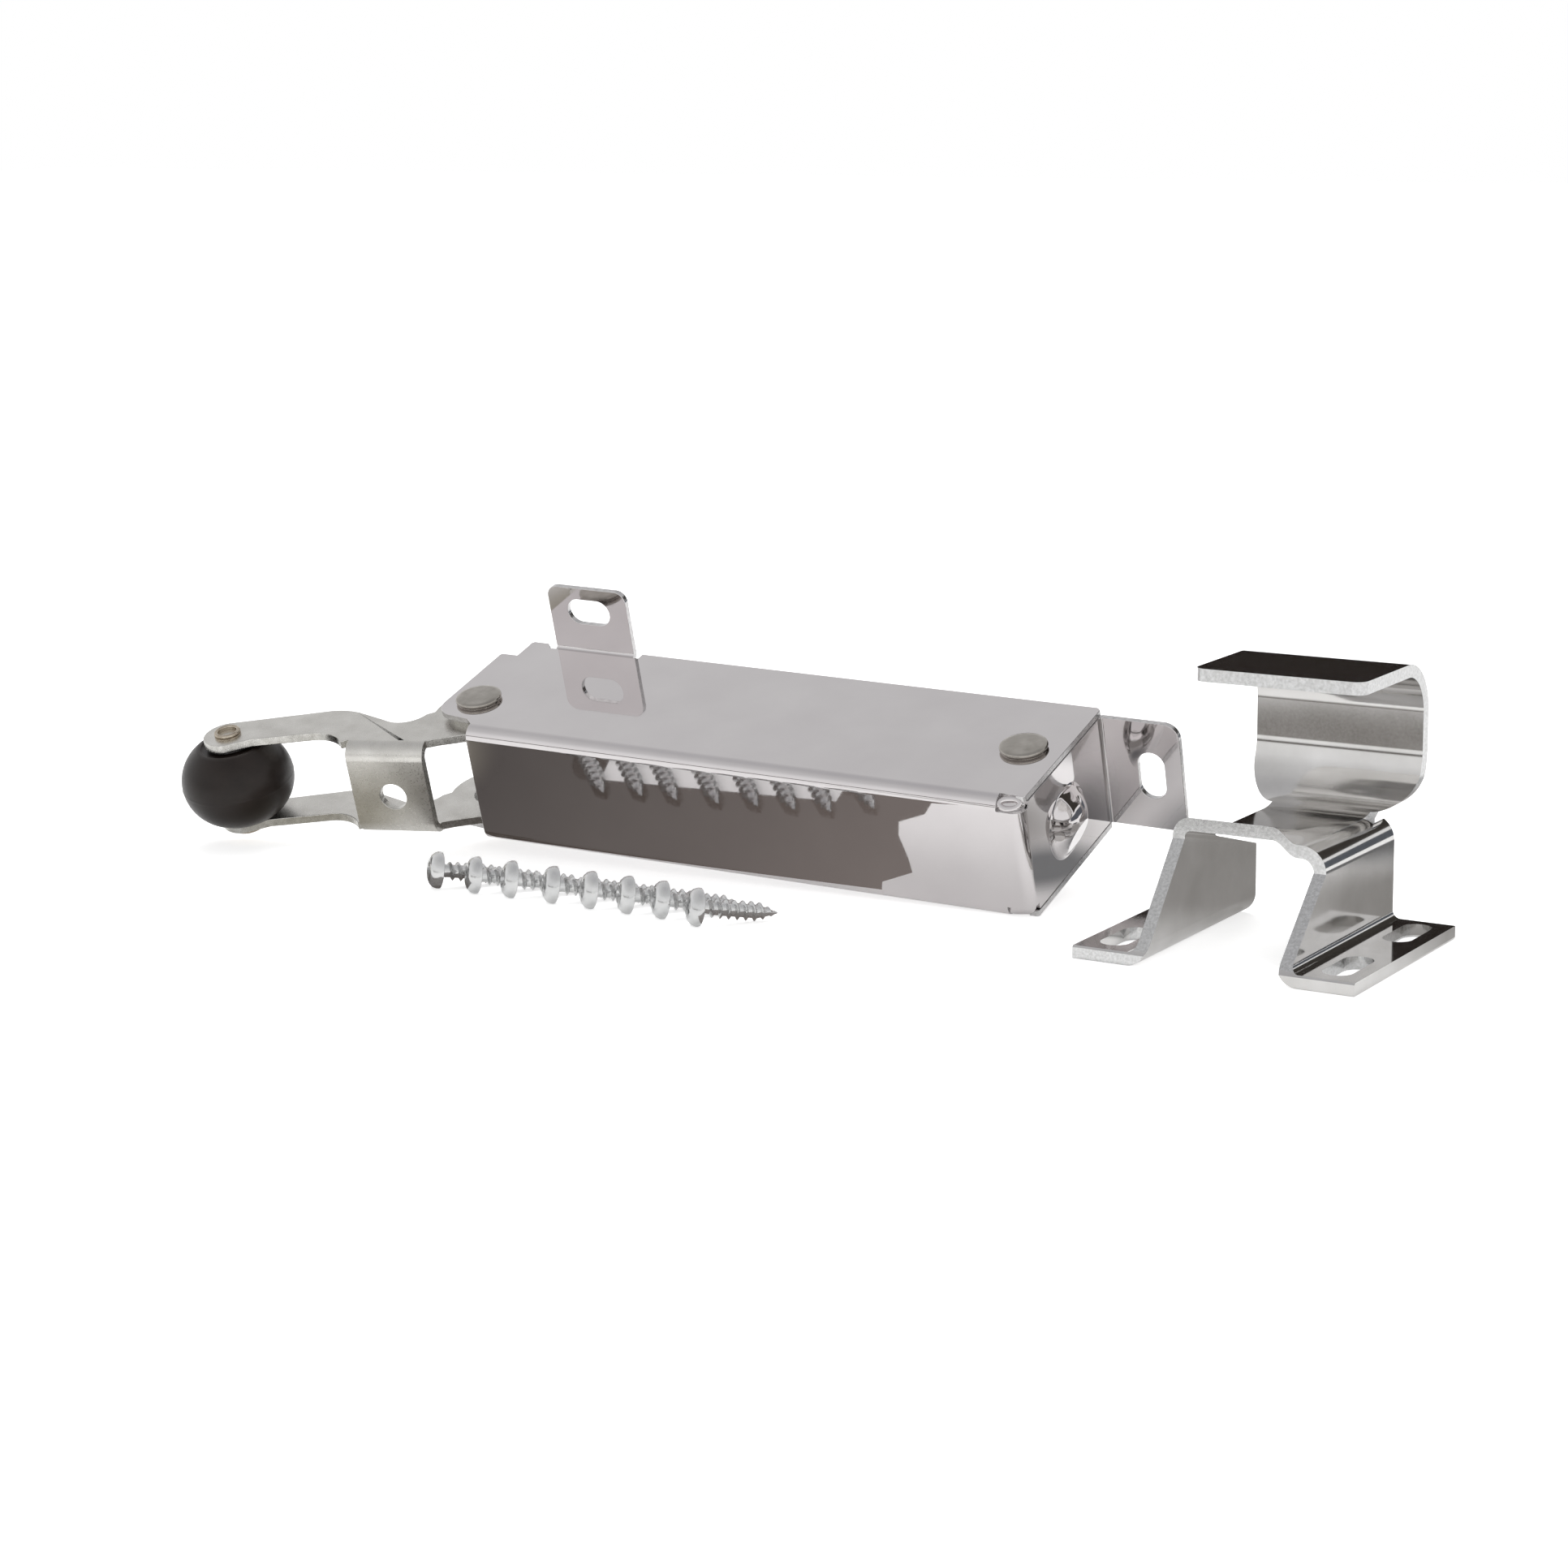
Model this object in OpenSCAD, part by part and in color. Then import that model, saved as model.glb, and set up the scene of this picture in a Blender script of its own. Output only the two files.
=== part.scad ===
// Snap-action concealed door closer, laid out with its hooked strike and eight screws.
// The closer lies on its front lower edge and its lower mounting tab, with the roller over the table.

/* [Housing] */
// Length of the channel, without the right tab
body_len = 154; // [140:1:180]
// Depth from the front face to the mounting plane
body_depth = 47.5; // [44:0.5:56]
// Height over both flanges
body_h = 32.5; // [31:0.5:40]
// Thickness of the housing sheet
sheet = 1.5; // [1:0.1:1.8]
// Outside radius of the long rolled edges
roll_r = 3.3; // [2.5:0.1:4]
// Outside radius of the upright corner at the end plate
corner_r = 3; // [2.2:0.1:4]
// Inside radius where the tabs turn away
tab_bend_r = 0.8; // [0.5:0.1:1.5]
// Gap between the end plate and each flange
end_gap = 0.25; // [0.2:0.05:0.6]
// Length of the relief notch at the end of each rolled edge
notch_len = 4.2; // [3:0.1:6]
// Reach of the flanges past the left end
lug_reach = 13.4; // [13:0.1:18]
// Radius of the lug's front corner
lug_corner_r = 6.3; // [4:0.1:7]
// Length of the step at the lug's rear corner
lug_step_x = 5; // [3:0.5:7]
// Depth of the step at the lug's rear corner
lug_step_y = 8; // [5:0.5:9]

/* [Mounting tabs] */
// Width of the upper and lower tabs
tab_w = 23.4; // [20:0.1:30]
// Rise of the upper and lower tabs over the flanges
tab_rise = 18; // [15:0.5:22]
// Corner radius of the upper and lower tabs
tab_corner_r = 3; // [1:0.5:5]
// Height of the slot's centre over the flange
tab_slot_rise = 11.3; // [10:0.1:12]
// Reach of the right tab past the end plate
end_tab_reach = 20.2; // [18:0.1:28]
// Corner radius of the right tab
end_tab_corner_r = 4; // [2:0.5:6]
// Distance from the end plate to the right slot's centre
end_slot_reach = 12.2; // [10:0.1:14]
// Width of the three mounting slots
tab_slot_w = 7; // [5:0.1:8]
// Length of the three mounting slots
tab_slot_len = 12.6; // [10:0.1:15]

/* [End plate boss] */
// Length of the pressed boss along the depth
boss_len = 17.5; // [15:0.5:22]
// Height of the pressed boss
boss_h = 15; // [12:0.5:18]
// Distance of the boss's middle ahead of the spring rivet
boss_ahead = 1.5; // [0:0.1:3]
// How far the boss stands out
boss_rise = 4; // [2.5:0.1:5]
// Width of the boss's sloping rim
boss_slope = 2.8; // [2:0.1:3.5]
// How far the boss's middle lies below the middle of the plate
boss_drop = 1.2; // [0:0.1:2.5]

/* [Rivets and sleeves] */
// Distance of the arm rivet to the left of the channel's end
pivot_left = 4.8; // [4:0.1:6]
// Distance of the arm rivet behind the front face
pivot_depth = 15; // [14.8:0.1:16]
// Distance of the spring rivet from the end plate
anchor_inset = 10; // [9.5:0.5:16]
// Distance of the spring rivet behind the front face
anchor_depth = 24.2; // [22:0.1:26]
// Diameter of both rivet shanks
rivet_d = 6.35; // [5:0.05:6.5]
// Diameter of the rivet heads
rivet_head_d = 11.8; // [10.5:0.1:13]
// Thickness of the rivet heads
rivet_head_t = 1.3; // [1:0.1:2]
// Outside diameter of the sleeves on the rivets
sleeve_d = 9; // [8.6:0.1:9.6]
// Radial clearance of parts that are pressed or clamped
seat_gap = 0.03; // [0.01:0.01:0.05]
// Radial clearance of parts that turn
turn_gap = 0.06; // [0.03:0.01:0.1]
// End play between parts that turn
end_play = 0.1; // [0.05:0.01:0.2]

/* [Arm] */
// Distance from the arm rivet to the roller
arm_len = 66.8; // [65:0.1:72]
// Direction of the arm as it lies, seen from above
arm_angle = 204; // [202:0.5:206]
// Thickness of the arm's sheet
arm_sheet = 2.2; // [1.8:0.1:2.4]
// Space between the arm's plates and the flanges
arm_gap = 1.8; // [1.2:0.05:2]
// Half width of the arm beside the roller
arm_half_w = 6.4; // [5.8:0.1:7]
// Radius of the arm's hub towards the front
hub_front_r = 12.6; // [12:0.1:12.8]
// Radius of the arm's hub towards the rear
hub_rear_r = 12.6; // [11:0.1:12.8]
// Width of the arm's web
web_w = 21.2; // [18:0.1:22.5]
// Outside radius of the web's bends
web_bend_r = 4.2; // [3:0.1:5.5]
// Diameter of the hole in the web
web_hole_d = 7.2; // [4:0.1:10]
// Distance of that hole from the web's inner end
web_hole_at = 10; // [8:0.1:12]
// How far that hole lies below the web's middle
web_hole_drop = 1.2; // [0:0.1:2]
// Distance from the arm rivet to the crank pin
crank_len = 16; // [15:0.5:16.5]
// Turn of the crank from straight behind the arm
crank_turn = 0.4; // [0:0.1:4]
// Radius of the tail around the crank pin
tail_r = 6.2; // [5.5:0.1:6.4]
// Wall of the arm's bushes
bush_wall = 1.5; // [1:0.1:1.8]
// Diameter of the bushes' flanges
bush_flange_d = 17; // [14:0.5:19]

/* [Roller] */
// Largest diameter of the barrel roller
roller_d = 29.1; // [24:0.1:30]
// Diameter of the roller's flat ends
roller_end_d = 17; // [15:0.5:20]
// Thickness of the washers beside the roller
roller_washer_t = 0.5; // [0.4:0.1:0.8]
// Diameter of the washers beside the roller
roller_washer_d = 12; // [10:0.5:13]
// Outside diameter of the tubular rivet
eyelet_d = 5.6; // [5:0.1:6.5]
// Bore of the tubular rivet
eyelet_bore = 4; // [3:0.1:4.4]
// Outside diameter of the tubular rivet's flared rim
eyelet_rim_d = 6.8; // [6.8:0.1:8]
// How far the flared rim stands over the arm
eyelet_rise = 1.2; // [1:0.1:2.2]
// Diameter of the tubular rivet's lower head
eyelet_head_d = 9.2; // [8:0.1:11]
// Thickness of the tubular rivet's lower head
eyelet_head_t = 1.4; // [1:0.1:2.4]
// Wall of the sleeve in the roller
roller_sleeve_wall = 1.1; // [0.8:0.1:1.5]

/* [Spring and guide] */
// Diameter of the crank pin
crank_pin_d = 6; // [5:0.1:6.5]
// Diameter of the crank pin's riveted heads
crank_head_d = 8.4; // [8:0.1:9.5]
// Thickness of the crank pin's riveted heads
crank_head_t = 0.6; // [0.4:0.1:0.7]
// Height of the eyes of the rod and the tube
eye_h = 10; // [8:0.5:12]
// Radius of the rod's eye
rod_eye_r = 6; // [5.5:0.1:6.4]
// Diameter of the guide rod
rod_d = 6.4; // [5.5:0.1:6.6]
// Sliding clearance around the guide rod
rod_gap = 0.3; // [0.25:0.05:0.4]
// Distance from the crank pin to the front spring seat
rod_seat_at = 9.5; // [9:0.5:12]
// Reach of the guide rod from the crank pin
rod_reach = 106; // [90:1:110]
// Outside diameter of the guide tube
tube_d = 11.4; // [10.5:0.1:11.8]
// Radius of the tube's eye
tube_eye_r = 7.2; // [6.8:0.1:8]
// Length of the guide tube from the spring rivet
tube_reach = 72; // [60:1:80]
// Distance from the spring rivet to the rear spring seat
tube_seat_at = 11; // [10.5:0.5:14]
// Thickness of both spring seats
seat_t = 2; // [1.5:0.1:3]
// Diameter of both spring seats
seat_d = 17.6; // [17:0.1:18]
// Length of the front seat's pilot inside the spring
pilot_len = 2.5; // [2:0.1:4]
// Radial clearance between that pilot and the spring
pilot_gap = 0.6; // [0.55:0.05:0.8]
// Diameter of the spring's wire
wire_d = 2.2; // [1.8:0.1:2.3]
// Outside diameter of the spring
spring_d = 17; // [16.8:0.1:17.4]
// Number of open curls of the spring
spring_curls = 22; // [14:1:28]
// Thickness of the rod's shoulder
shoulder_t = 1.5; // [1:0.1:2]

/* [Strike] */
// Thickness of the strike's sheet
strike_sheet = 3; // [2.5:0.1:3.2]
// Width over both feet
strike_w = 68; // [64:1:80]
// Length of both feet
strike_depth = 58.3; // [56:0.1:66]
// Width of each foot up to the outside of its leg
foot_w = 15.3; // [15:0.1:18]
// Inside radius of the bends at the feet
foot_bend_r = 2; // [1.5:0.1:2.5]
// Height of the platform's upper face
platform_h = 27.2; // [26:0.1:32]
// Outside radius of the bend over the right leg
shoulder_r = 6; // [5:0.1:7]
// Distance from the front of the feet to the platform
platform_front = 19.4; // [18:0.1:21]
// Depth of the raised strap that carries the left leg
strap_depth = 14.2; // [12:0.1:16]
// Rise of the strap's front edge over the platform
strap_rise = 3.4; // [2:0.1:4]
// Inside radius of the bend from the strap to the left leg
strap_inner_r = 1.4; // [1:0.1:3]
// Depth of the strap where it turns down into the left leg
strap_side_depth = 7; // [5:0.5:10]
// Length of the relief notch between neck and right leg
neck_notch_len = 6.5; // [4:0.5:10]
// Width of that notch
neck_notch_w = 2.2; // [1:0.1:3]
// Length of the curve that leads up to the strap
strap_ramp = 6; // [4:0.5:8]
// Width of the strike's slots
foot_slot_w = 7; // [5:0.1:8]
// Length of the strike's slots
foot_slot_len = 18; // [12:0.5:20]
// Distance from the foot's front edge to the first slot's centre
foot_slot_front = 13.2; // [11:0.1:14]
// Distance between the two slots of a foot
foot_slot_pitch = 33.6; // [28:0.1:36]
// Distance from a foot's outer edge to its slots
foot_slot_inset = 7; // [6.5:0.1:8]
// Width of the hook
hook_w = 41.4; // [40:0.1:46]
// Shift of the hook's middle to the right of the legs' middle
hook_shift = 1.6; // [0:0.1:2]
// Width of the neck under the hook
neck_w = 24.4; // [22:0.1:25]
// Clear height of the hook's mouth over the platform
hook_gap = 32.6; // [31:0.1:38]
// Distance from the front of the feet to the hook's inner wall
hook_wall_at = 65.2; // [62:0.1:68]
// Inside radius of the hook's lower curve
hook_curve_r = 14.5; // [12:0.5:15.5]
// Inside radius of the bend at the lip
lip_bend_r = 9.5; // [6:0.5:11]
// Reach of the lip from the inner wall
lip_reach = 35.5; // [32:0.5:38]
// Radius of the lip's corners
lip_corner_r = 3; // [0.5:0.5:6]

/* [Screws] */
// Number of screws
screw_count = 8; // [1:1:8]
// Diameter of the pan heads
screw_head_d = 9.2; // [8:0.1:10]
// Height of the pan heads
screw_head_h = 3.1; // [2.5:0.1:3.5]
// Outside diameter of the thread
screw_d = 4.8; // [4:0.1:5]
// Core diameter of the thread
screw_core_d = 3.5; // [3:0.1:3.7]
// Length under the head
screw_len = 19; // [16:0.5:22]
// Pitch of the thread
thread_pitch = 2.1; // [1.8:0.1:2.6]
// Length of the point
screw_tip_len = 4.5; // [3:0.5:5]
// Distance between neighbouring screws
screw_pitch = 10.95; // [10.5:0.05:13]
// Direction of the screws as they lie
screw_angle = 48; // [44:1:60]

/* [Layout] */
// Clearance under the lower head of the roller's rivet as the closer lies
head_clear = 2.4; // [0:0.1:3]
// Turn of the closer against the strike
closer_yaw = 3; // [0:0.5:6]
// Distance from the closer's right corner to the strike's right edge
strike_x = 92.2; // [92:0.1:110]
// Distance of the strike's front edge ahead of the closer's right corner
strike_ahead = 27.6; // [20:0.1:40]
// Distance of the first screw to the left of the closer's right corner
screws_left = 141.6; // [130:0.1:150]
// Distance of the first screw's head ahead of the closer's right corner
screws_ahead = 42.9; // [41:0.1:50]

/* [Hidden] */
$fn = 64;
eps = 0.01;
join_len = 1;

// Heights, measured from the lower face of the closer
mid_z = body_h / 2;
inner_top = body_h - sheet;
arm_top = inner_top - arm_gap;
arm_bottom = sheet + arm_gap;
arm_in_top = arm_top - arm_sheet;
arm_in_bottom = arm_bottom + arm_sheet;

// Places in the closer, seen from above
pivot = [-pivot_left, pivot_depth];
anchor = [body_len - anchor_inset, anchor_depth];
crank_dir = arm_angle - 180 - crank_turn;
crank = pivot + crank_len * [cos(crank_dir), sin(crank_dir)];
axle = pivot + arm_len * [cos(arm_angle), sin(arm_angle)];
link_len = norm(anchor - crank);
link_dir = atan2(anchor[1] - crank[1], anchor[0] - crank[0]);
plate_rear = body_depth - sheet - tab_bend_r;
end_low = sheet + end_gap;
end_high = body_h - end_low;

// Outside diameter of the arm's bushes
bush_d = sleeve_d + 2 * turn_gap + 2 * bush_wall;

// Web of the arm, in the arm's own directions
web_inner = [12.5, 13.6];
web_turn = -12.6;

// Roller and its sleeve
roller_h = arm_in_top - arm_in_bottom - 2 * roller_washer_t - 2 * end_play;
roller_sleeve_d = eyelet_d + 2 * turn_gap + 2 * roller_sleeve_wall;

// Spring
spring_len = link_len - rod_seat_at - tube_seat_at - 2 * seat_t;
coil_r = (spring_d - wire_d) / 2;

// Strike
leg_right = -foot_w;
leg_left = -strike_w + foot_w;
strap_slope = atan2(strap_rise, strap_depth);
hook_mid = (leg_left + leg_right) / 2 + hook_shift;
neck_left = hook_mid - neck_w / 2;
neck_right = hook_mid + neck_w / 2;
lip_z = platform_h + hook_gap;
leg_top = platform_h - shoulder_r;
strap_bend_r = strike_sheet + strap_inner_r;
foot_bend_out = strike_sheet + foot_bend_r;

// Height of the edge of the rivet's lower head
head_edge = 0.2;

// The closer lies on its corner roll and its lower tab, with the roller's rivet close to the table
function unit(v) = v / norm(v);
function corner_touch(n) = [body_len - corner_r, roll_r, roll_r] - roll_r * unit([0, n[1], n[2]]);
function tab_touch(n) = [tab_w - tab_corner_r, body_depth - sheet, tab_corner_r - tab_rise]
    - tab_corner_r * unit([n[0], 0, n[2]]);
function head_touch(n) = [axle[0], axle[1], arm_bottom - eyelet_head_t + head_edge]
    - eyelet_head_d / 2 * unit([n[0], n[1], 0]) - head_clear * n;
function table_normal(n, k) = k == 0 ? n : let(a = corner_touch(n), b = tab_touch(n), c = head_touch(n))
    table_normal(unit(cross(b - c, a - b) * -1), k - 1);
up_dir = table_normal(unit([0, 0.3, 1]), 12);
tilt_back = atan2(up_dir[1], up_dir[2]);
tilt_side = -asin(up_dir[0]);
lift = -(up_dir * corner_touch(up_dir));

// The same placing as the modules below, for points
function turn_x(p, a) = [p[0], p[1] * cos(a) - p[2] * sin(a), p[1] * sin(a) + p[2] * cos(a)];
function turn_y(p, a) = [p[0] * cos(a) + p[2] * sin(a), p[1], p[2] * cos(a) - p[0] * sin(a)];
function turn_z(p, a) = [p[0] * cos(a) - p[1] * sin(a), p[0] * sin(a) + p[1] * cos(a), p[2]];
function closer_dir(p) = turn_z(turn_y(turn_x(p, tilt_back), tilt_side), closer_yaw);
function closer_on_table(p) = closer_dir(p) + turn_z([-body_len, 0, 0], closer_yaw) + [0, 0, lift];

// Screws lie on the rim of the head and on the thread near the point
screw_dip = atan((screw_head_d - screw_d) / 2 / (screw_len - screw_tip_len));
screw_head_low = screw_head_d / 2 * cos(screw_dip);
screw_sway_x = [0, 0.4, -0.2, 1, 1.2, 0.8, -0.2, 0];
screw_sway_y = [0, 0.2, 0.8, 1, 1, 1.2, 1.1, -1];
function screw_place(i) = [screw_sway_x[i] + i * screw_pitch - screws_left, screw_sway_y[i] - screws_ahead];

// The frame's origin is under the middle of the whole layout
axle_mid = closer_on_table([axle[0], axle[1], mid_z]);
tab_far = closer_on_table([body_len + end_tab_reach, body_depth, end_low]);
axis_up = closer_dir([0, 0, 1]);
left_most = axle_mid[0] - roller_d / 2 * sqrt(1 - axis_up[0] * axis_up[0]);
screw_front_reach = screw_head_d / 2 * cos(screw_angle);
front_most = min([for (i = [0:screw_count - 1]) screw_place(i)[1]]) - screw_front_reach;
origin = [(left_most + strike_x) / 2, (front_most + tab_far[1]) / 2, 0];

echo(axis = axis_up, pivot_at = closer_on_table([pivot[0], pivot[1], mid_z]) - origin);
echo(axle_at = axle_mid - origin, crank_at = closer_on_table([crank[0], crank[1], mid_z]) - origin);
echo(anchor_at = closer_on_table([anchor[0], anchor[1], mid_z]) - origin, link_dir = link_dir);
echo(tilt = [tilt_back, tilt_side], lift = lift, origin = origin);
echo(link_len = link_len, spring_len = spring_len);

// Outline helper: points along a circle
function arc(c, r, a0, a1, n = 10) = [
    for (i = [0:n]) let(a = a0 + (a1 - a0) * i / n) c + r * [cos(a), sin(a)]];

module on_table() {
    translate(-origin) children();
}

module place_closer() {
    on_table()
        translate([-body_len * cos(closer_yaw), -body_len * sin(closer_yaw), lift])
            rotate([0, 0, closer_yaw])
                rotate([tilt_back, tilt_side, 0]) children();
}

module place_arm() {
    place_closer() translate([pivot[0], pivot[1], 0]) rotate([0, 0, arm_angle]) children();
}

// Along the spring: x runs from the crank pin to the spring rivet
module place_link() {
    place_closer() translate([crank[0], crank[1], mid_z]) rotate([0, 0, link_dir]) children();
}

module ring(d_out, d_in, h) {
    difference() {
        cylinder(d = d_out, h = h);
        translate([0, 0, -1]) cylinder(d = d_in, h = h + 2);
    }
}

// Quarter of a bent sheet about the z axis, from +x to +y. The cores before and after it reach
// from inside the bend into the sheet that it joins, so the joint holds at any size.
module bend(r_out, t, h, before = 0, after = 0) {
    core_in = 0.1;
    core_over = 0.2;
    core = [t - 2 * core_in, h - 2 * core_in];
    intersection() {
        ring(2 * r_out, 2 * (r_out - t), h);
        translate([0, 0, -1]) cube([r_out + 1, r_out + 1, h + 2]);
    }
    if (before > 0) translate([r_out - t + core_in, -before, core_in])
        cube([core[0], before + core_over, core[1]]);
    if (after > 0) translate([-after, r_out - t + core_in, core_in])
        cube([after + core_over, core[0], core[1]]);
}

// Slot about the z axis, long along x
module slot(len, w, h) {
    for (s = [-1, 1]) translate([s * (len - w) / 2, 0, 0]) cylinder(d = w, h = h);
    translate([-(len - w) / 2, -w / 2, 0]) cube([len - w, w, h]);
}

// Plate with two round corners at its far end along y
module round_end_plate(w, len, r, h) {
    cube([w, len - r, h]);
    translate([r, 0, 0]) cube([w - 2 * r, len, h]);
    for (x = [r, w - r]) translate([x, len - r, 0]) cylinder(r = r, h = h);
}

// Housing
flange_outline = concat(
    [[0, roll_r]], [[-2.4, 5.3]],
    arc([-lug_reach + lug_corner_r, roll_r + 2.6 + lug_corner_r], lug_corner_r, 270, 180, 8),
    [[-lug_reach, body_depth - lug_step_y - 0.6], [-lug_reach + 0.6, body_depth - lug_step_y]],
    [[-lug_reach + lug_step_x, body_depth - lug_step_y], [-lug_reach + lug_step_x, body_depth - 0.6]],
    [[-lug_reach + lug_step_x + 0.6, body_depth], [-3.6, body_depth], [-1.9, body_depth - 1.7]],
    [[-1.9, plate_rear], [tab_w + 1.6, plate_rear], [tab_w + 1.6, body_depth]],
    [[body_len - 1, body_depth], [body_len, body_depth - 1], [body_len, roll_r]],
    [[body_len - 0.6, roll_r - 0.5]],
    [[body_len - corner_r + 0.6, roll_r - 0.5], [body_len - corner_r + 0.6, roll_r]]);

module roll_profile() {
    polygon(concat([[roll_r + eps, 0]], arc([roll_r, roll_r], roll_r, 270, 180, 8),
        arc([roll_r, body_h - roll_r], roll_r, 180, 90, 8),
        [[roll_r + eps, body_h], [roll_r + eps, inner_top]],
        arc([roll_r, body_h - roll_r], roll_r - sheet, 90, 180, 8),
        arc([roll_r, roll_r], roll_r - sheet, 180, 270, 8), [[roll_r + eps, sheet]]));
}

module front_sheet() {
    roll_end = body_len - corner_r + 0.6 - notch_len;
    rotate([90, 0, 90]) linear_extrude(roll_end) roll_profile();
    translate([roll_end - eps, 0, roll_r])
        cube([body_len - corner_r - roll_end + 2 * eps, sheet, body_h - 2 * roll_r]);
    translate([body_len - corner_r, corner_r, roll_r])
        rotate([0, 0, -90]) bend(corner_r, sheet, body_h - 2 * roll_r);
}

module boss_cone(x, wide, narrow, h) {
    half_len = (boss_len - boss_h) / 2;
    hull() for (s = [-1, 1]) translate([x, anchor_depth - boss_ahead + s * half_len, mid_z - boss_drop])
        rotate([0, 90, 0]) cylinder(d1 = wide, d2 = narrow, h = h, $fn = 32);
}

module end_sheet() {
    difference() {
        union() {
            translate([body_len - sheet, corner_r - eps, roll_r])
                cube([sheet, corner_r, body_h - 2 * roll_r]);
            translate([body_len - sheet, corner_r + 1, end_low])
                cube([sheet, plate_rear - corner_r - 1 + eps, end_high - end_low]);
            boss_cone(body_len - sheet, boss_h + 2, boss_h - 2 * boss_slope, sheet + boss_rise);
        }
        boss_cone(body_len - sheet - 1, boss_h + 1, boss_h - 2 * boss_slope - 1, boss_rise + 1);
    }
    translate([body_len + tab_bend_r, plate_rear, end_low])
        rotate([0, 0, 90]) bend(tab_bend_r + sheet, sheet, end_high - end_low);
    translate([body_len + tab_bend_r - eps, body_depth, end_low]) rotate([90, 0, 0])
        difference() {
            translate([0, end_high - end_low, 0]) rotate([0, 0, -90])
                round_end_plate(end_high - end_low, end_tab_reach - tab_bend_r, end_tab_corner_r, sheet);
            translate([end_slot_reach - tab_bend_r, mid_z - end_low, -1])
                rotate([0, 0, 90]) slot(tab_slot_len, tab_slot_w, sheet + 2);
        }
}

// Flange with its turned-up tab; the lower one is its mirror image
module flange() {
    difference() {
        translate([0, 0, inner_top]) linear_extrude(sheet) polygon(flange_outline);
        for (p = [pivot, anchor]) translate([p[0], p[1], inner_top - 1])
            cylinder(d = rivet_d + 2 * seat_gap, h = sheet + 2);
    }
    translate([0, plate_rear, body_h + tab_bend_r]) rotate([0, 90, 0])
        bend(tab_bend_r + sheet, sheet, tab_w, join_len);
    translate([0, body_depth, body_h + tab_bend_r - eps]) rotate([90, 0, 0])
        difference() {
            round_end_plate(tab_w, tab_rise - tab_bend_r, tab_corner_r, sheet);
            translate([tab_w / 2, tab_slot_rise - tab_bend_r, -1])
                slot(tab_slot_len, tab_slot_w, sheet + 2);
        }
}

module housing() {
    color([0.72, 0.71, 0.72]) place_closer() {
        front_sheet();
        end_sheet();
        flange();
        translate([0, 0, body_h]) mirror([0, 0, 1]) flange();
    }
}

// Rivet through both flanges with two flat heads
module through_rivet(p) {
    rim = 0.3;
    place_closer() translate([p[0], p[1], 0]) {
        cylinder(d = rivet_d, h = body_h);
        for (z = [-rivet_head_t, body_h]) translate([0, 0, z]) cylinder(d = rivet_head_d, h = rivet_head_t);
        translate([0, 0, body_h + rivet_head_t - eps])
            cylinder(d1 = rivet_head_d - 2 * rim, d2 = rivet_head_d - 6 * rim, h = rim / 2);
    }
}

module arm_rivet() {
    color([0.62, 0.61, 0.58]) through_rivet(pivot);
}

module anchor_rivet() {
    color([0.62, 0.61, 0.58]) through_rivet(anchor);
}

module clamp_sleeve(p) {
    place_closer() translate([p[0], p[1], sheet]) ring(sleeve_d, rivet_d + 2 * seat_gap, inner_top - sheet);
}

module arm_sleeve() {
    color([0.66, 0.65, 0.6]) clamp_sleeve(pivot);
}

module anchor_sleeve() {
    color([0.66, 0.65, 0.6]) clamp_sleeve(anchor);
}

anchor_spacer_h = (inner_top - sheet - eye_h) / 2 - end_play;

module anchor_spacer(z) {
    color([0.85, 0.84, 0.8]) place_closer() translate([anchor[0], anchor[1], z])
        ring(tube_eye_r * 2 - 1, sleeve_d + 2 * seat_gap, anchor_spacer_h);
}

module anchor_spacer_upper() {
    anchor_spacer(inner_top - anchor_spacer_h);
}

module anchor_spacer_lower() {
    anchor_spacer(sheet);
}

// Arm: two alike plates joined by a web
crank_in_arm = crank_len * [cos(180 - crank_turn), sin(180 - crank_turn)];
arm_outline = concat(
    arc([arm_len, 0], arm_half_w, -90, 90, 16),
    [[60, 4]],
    arc([44, 12.9], 9.2, 270, 200, 8),
    [web_inner + web_w * [cos(web_turn), sin(web_turn)] + [0, -eps], web_inner],
    [[9.7, 13]],
    arc([0, 0], hub_front_r, 76, 120, 6),
    arc(crank_in_arm, tail_r, 112, 255, 12),
    arc([0, 0], hub_rear_r, 240, 350, 14),
    arc([20.3, -4.4], 6.5, 150, 45, 8),
    arc([41, 6.9], 15, 232, 270, 8));

module arm_plate() {
    difference() {
        linear_extrude(arm_sheet) polygon(arm_outline);
        translate([0, 0, -1]) cylinder(d = bush_d + 2 * seat_gap, h = arm_sheet + 2);
        translate([arm_len, 0, -1]) cylinder(d = eyelet_d + 2 * seat_gap, h = arm_sheet + 2);
        translate([crank_in_arm[0], crank_in_arm[1], -1])
            cylinder(d = crank_pin_d + 2 * seat_gap, h = arm_sheet + 2);
    }
}

module web_profile() {
    inner_r = web_bend_r - arm_sheet;
    polygon(concat([[-eps, arm_bottom]], arc([0, arm_bottom + web_bend_r], web_bend_r, -90, 0, 8),
        arc([0, arm_top - web_bend_r], web_bend_r, 0, 90, 8), [[-eps, arm_top], [-eps, arm_in_top]],
        arc([0, arm_top - web_bend_r], inner_r, 90, 0, 8),
        arc([0, arm_bottom + web_bend_r], inner_r, 0, -90, 8), [[-eps, arm_in_bottom]]));
}

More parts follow.
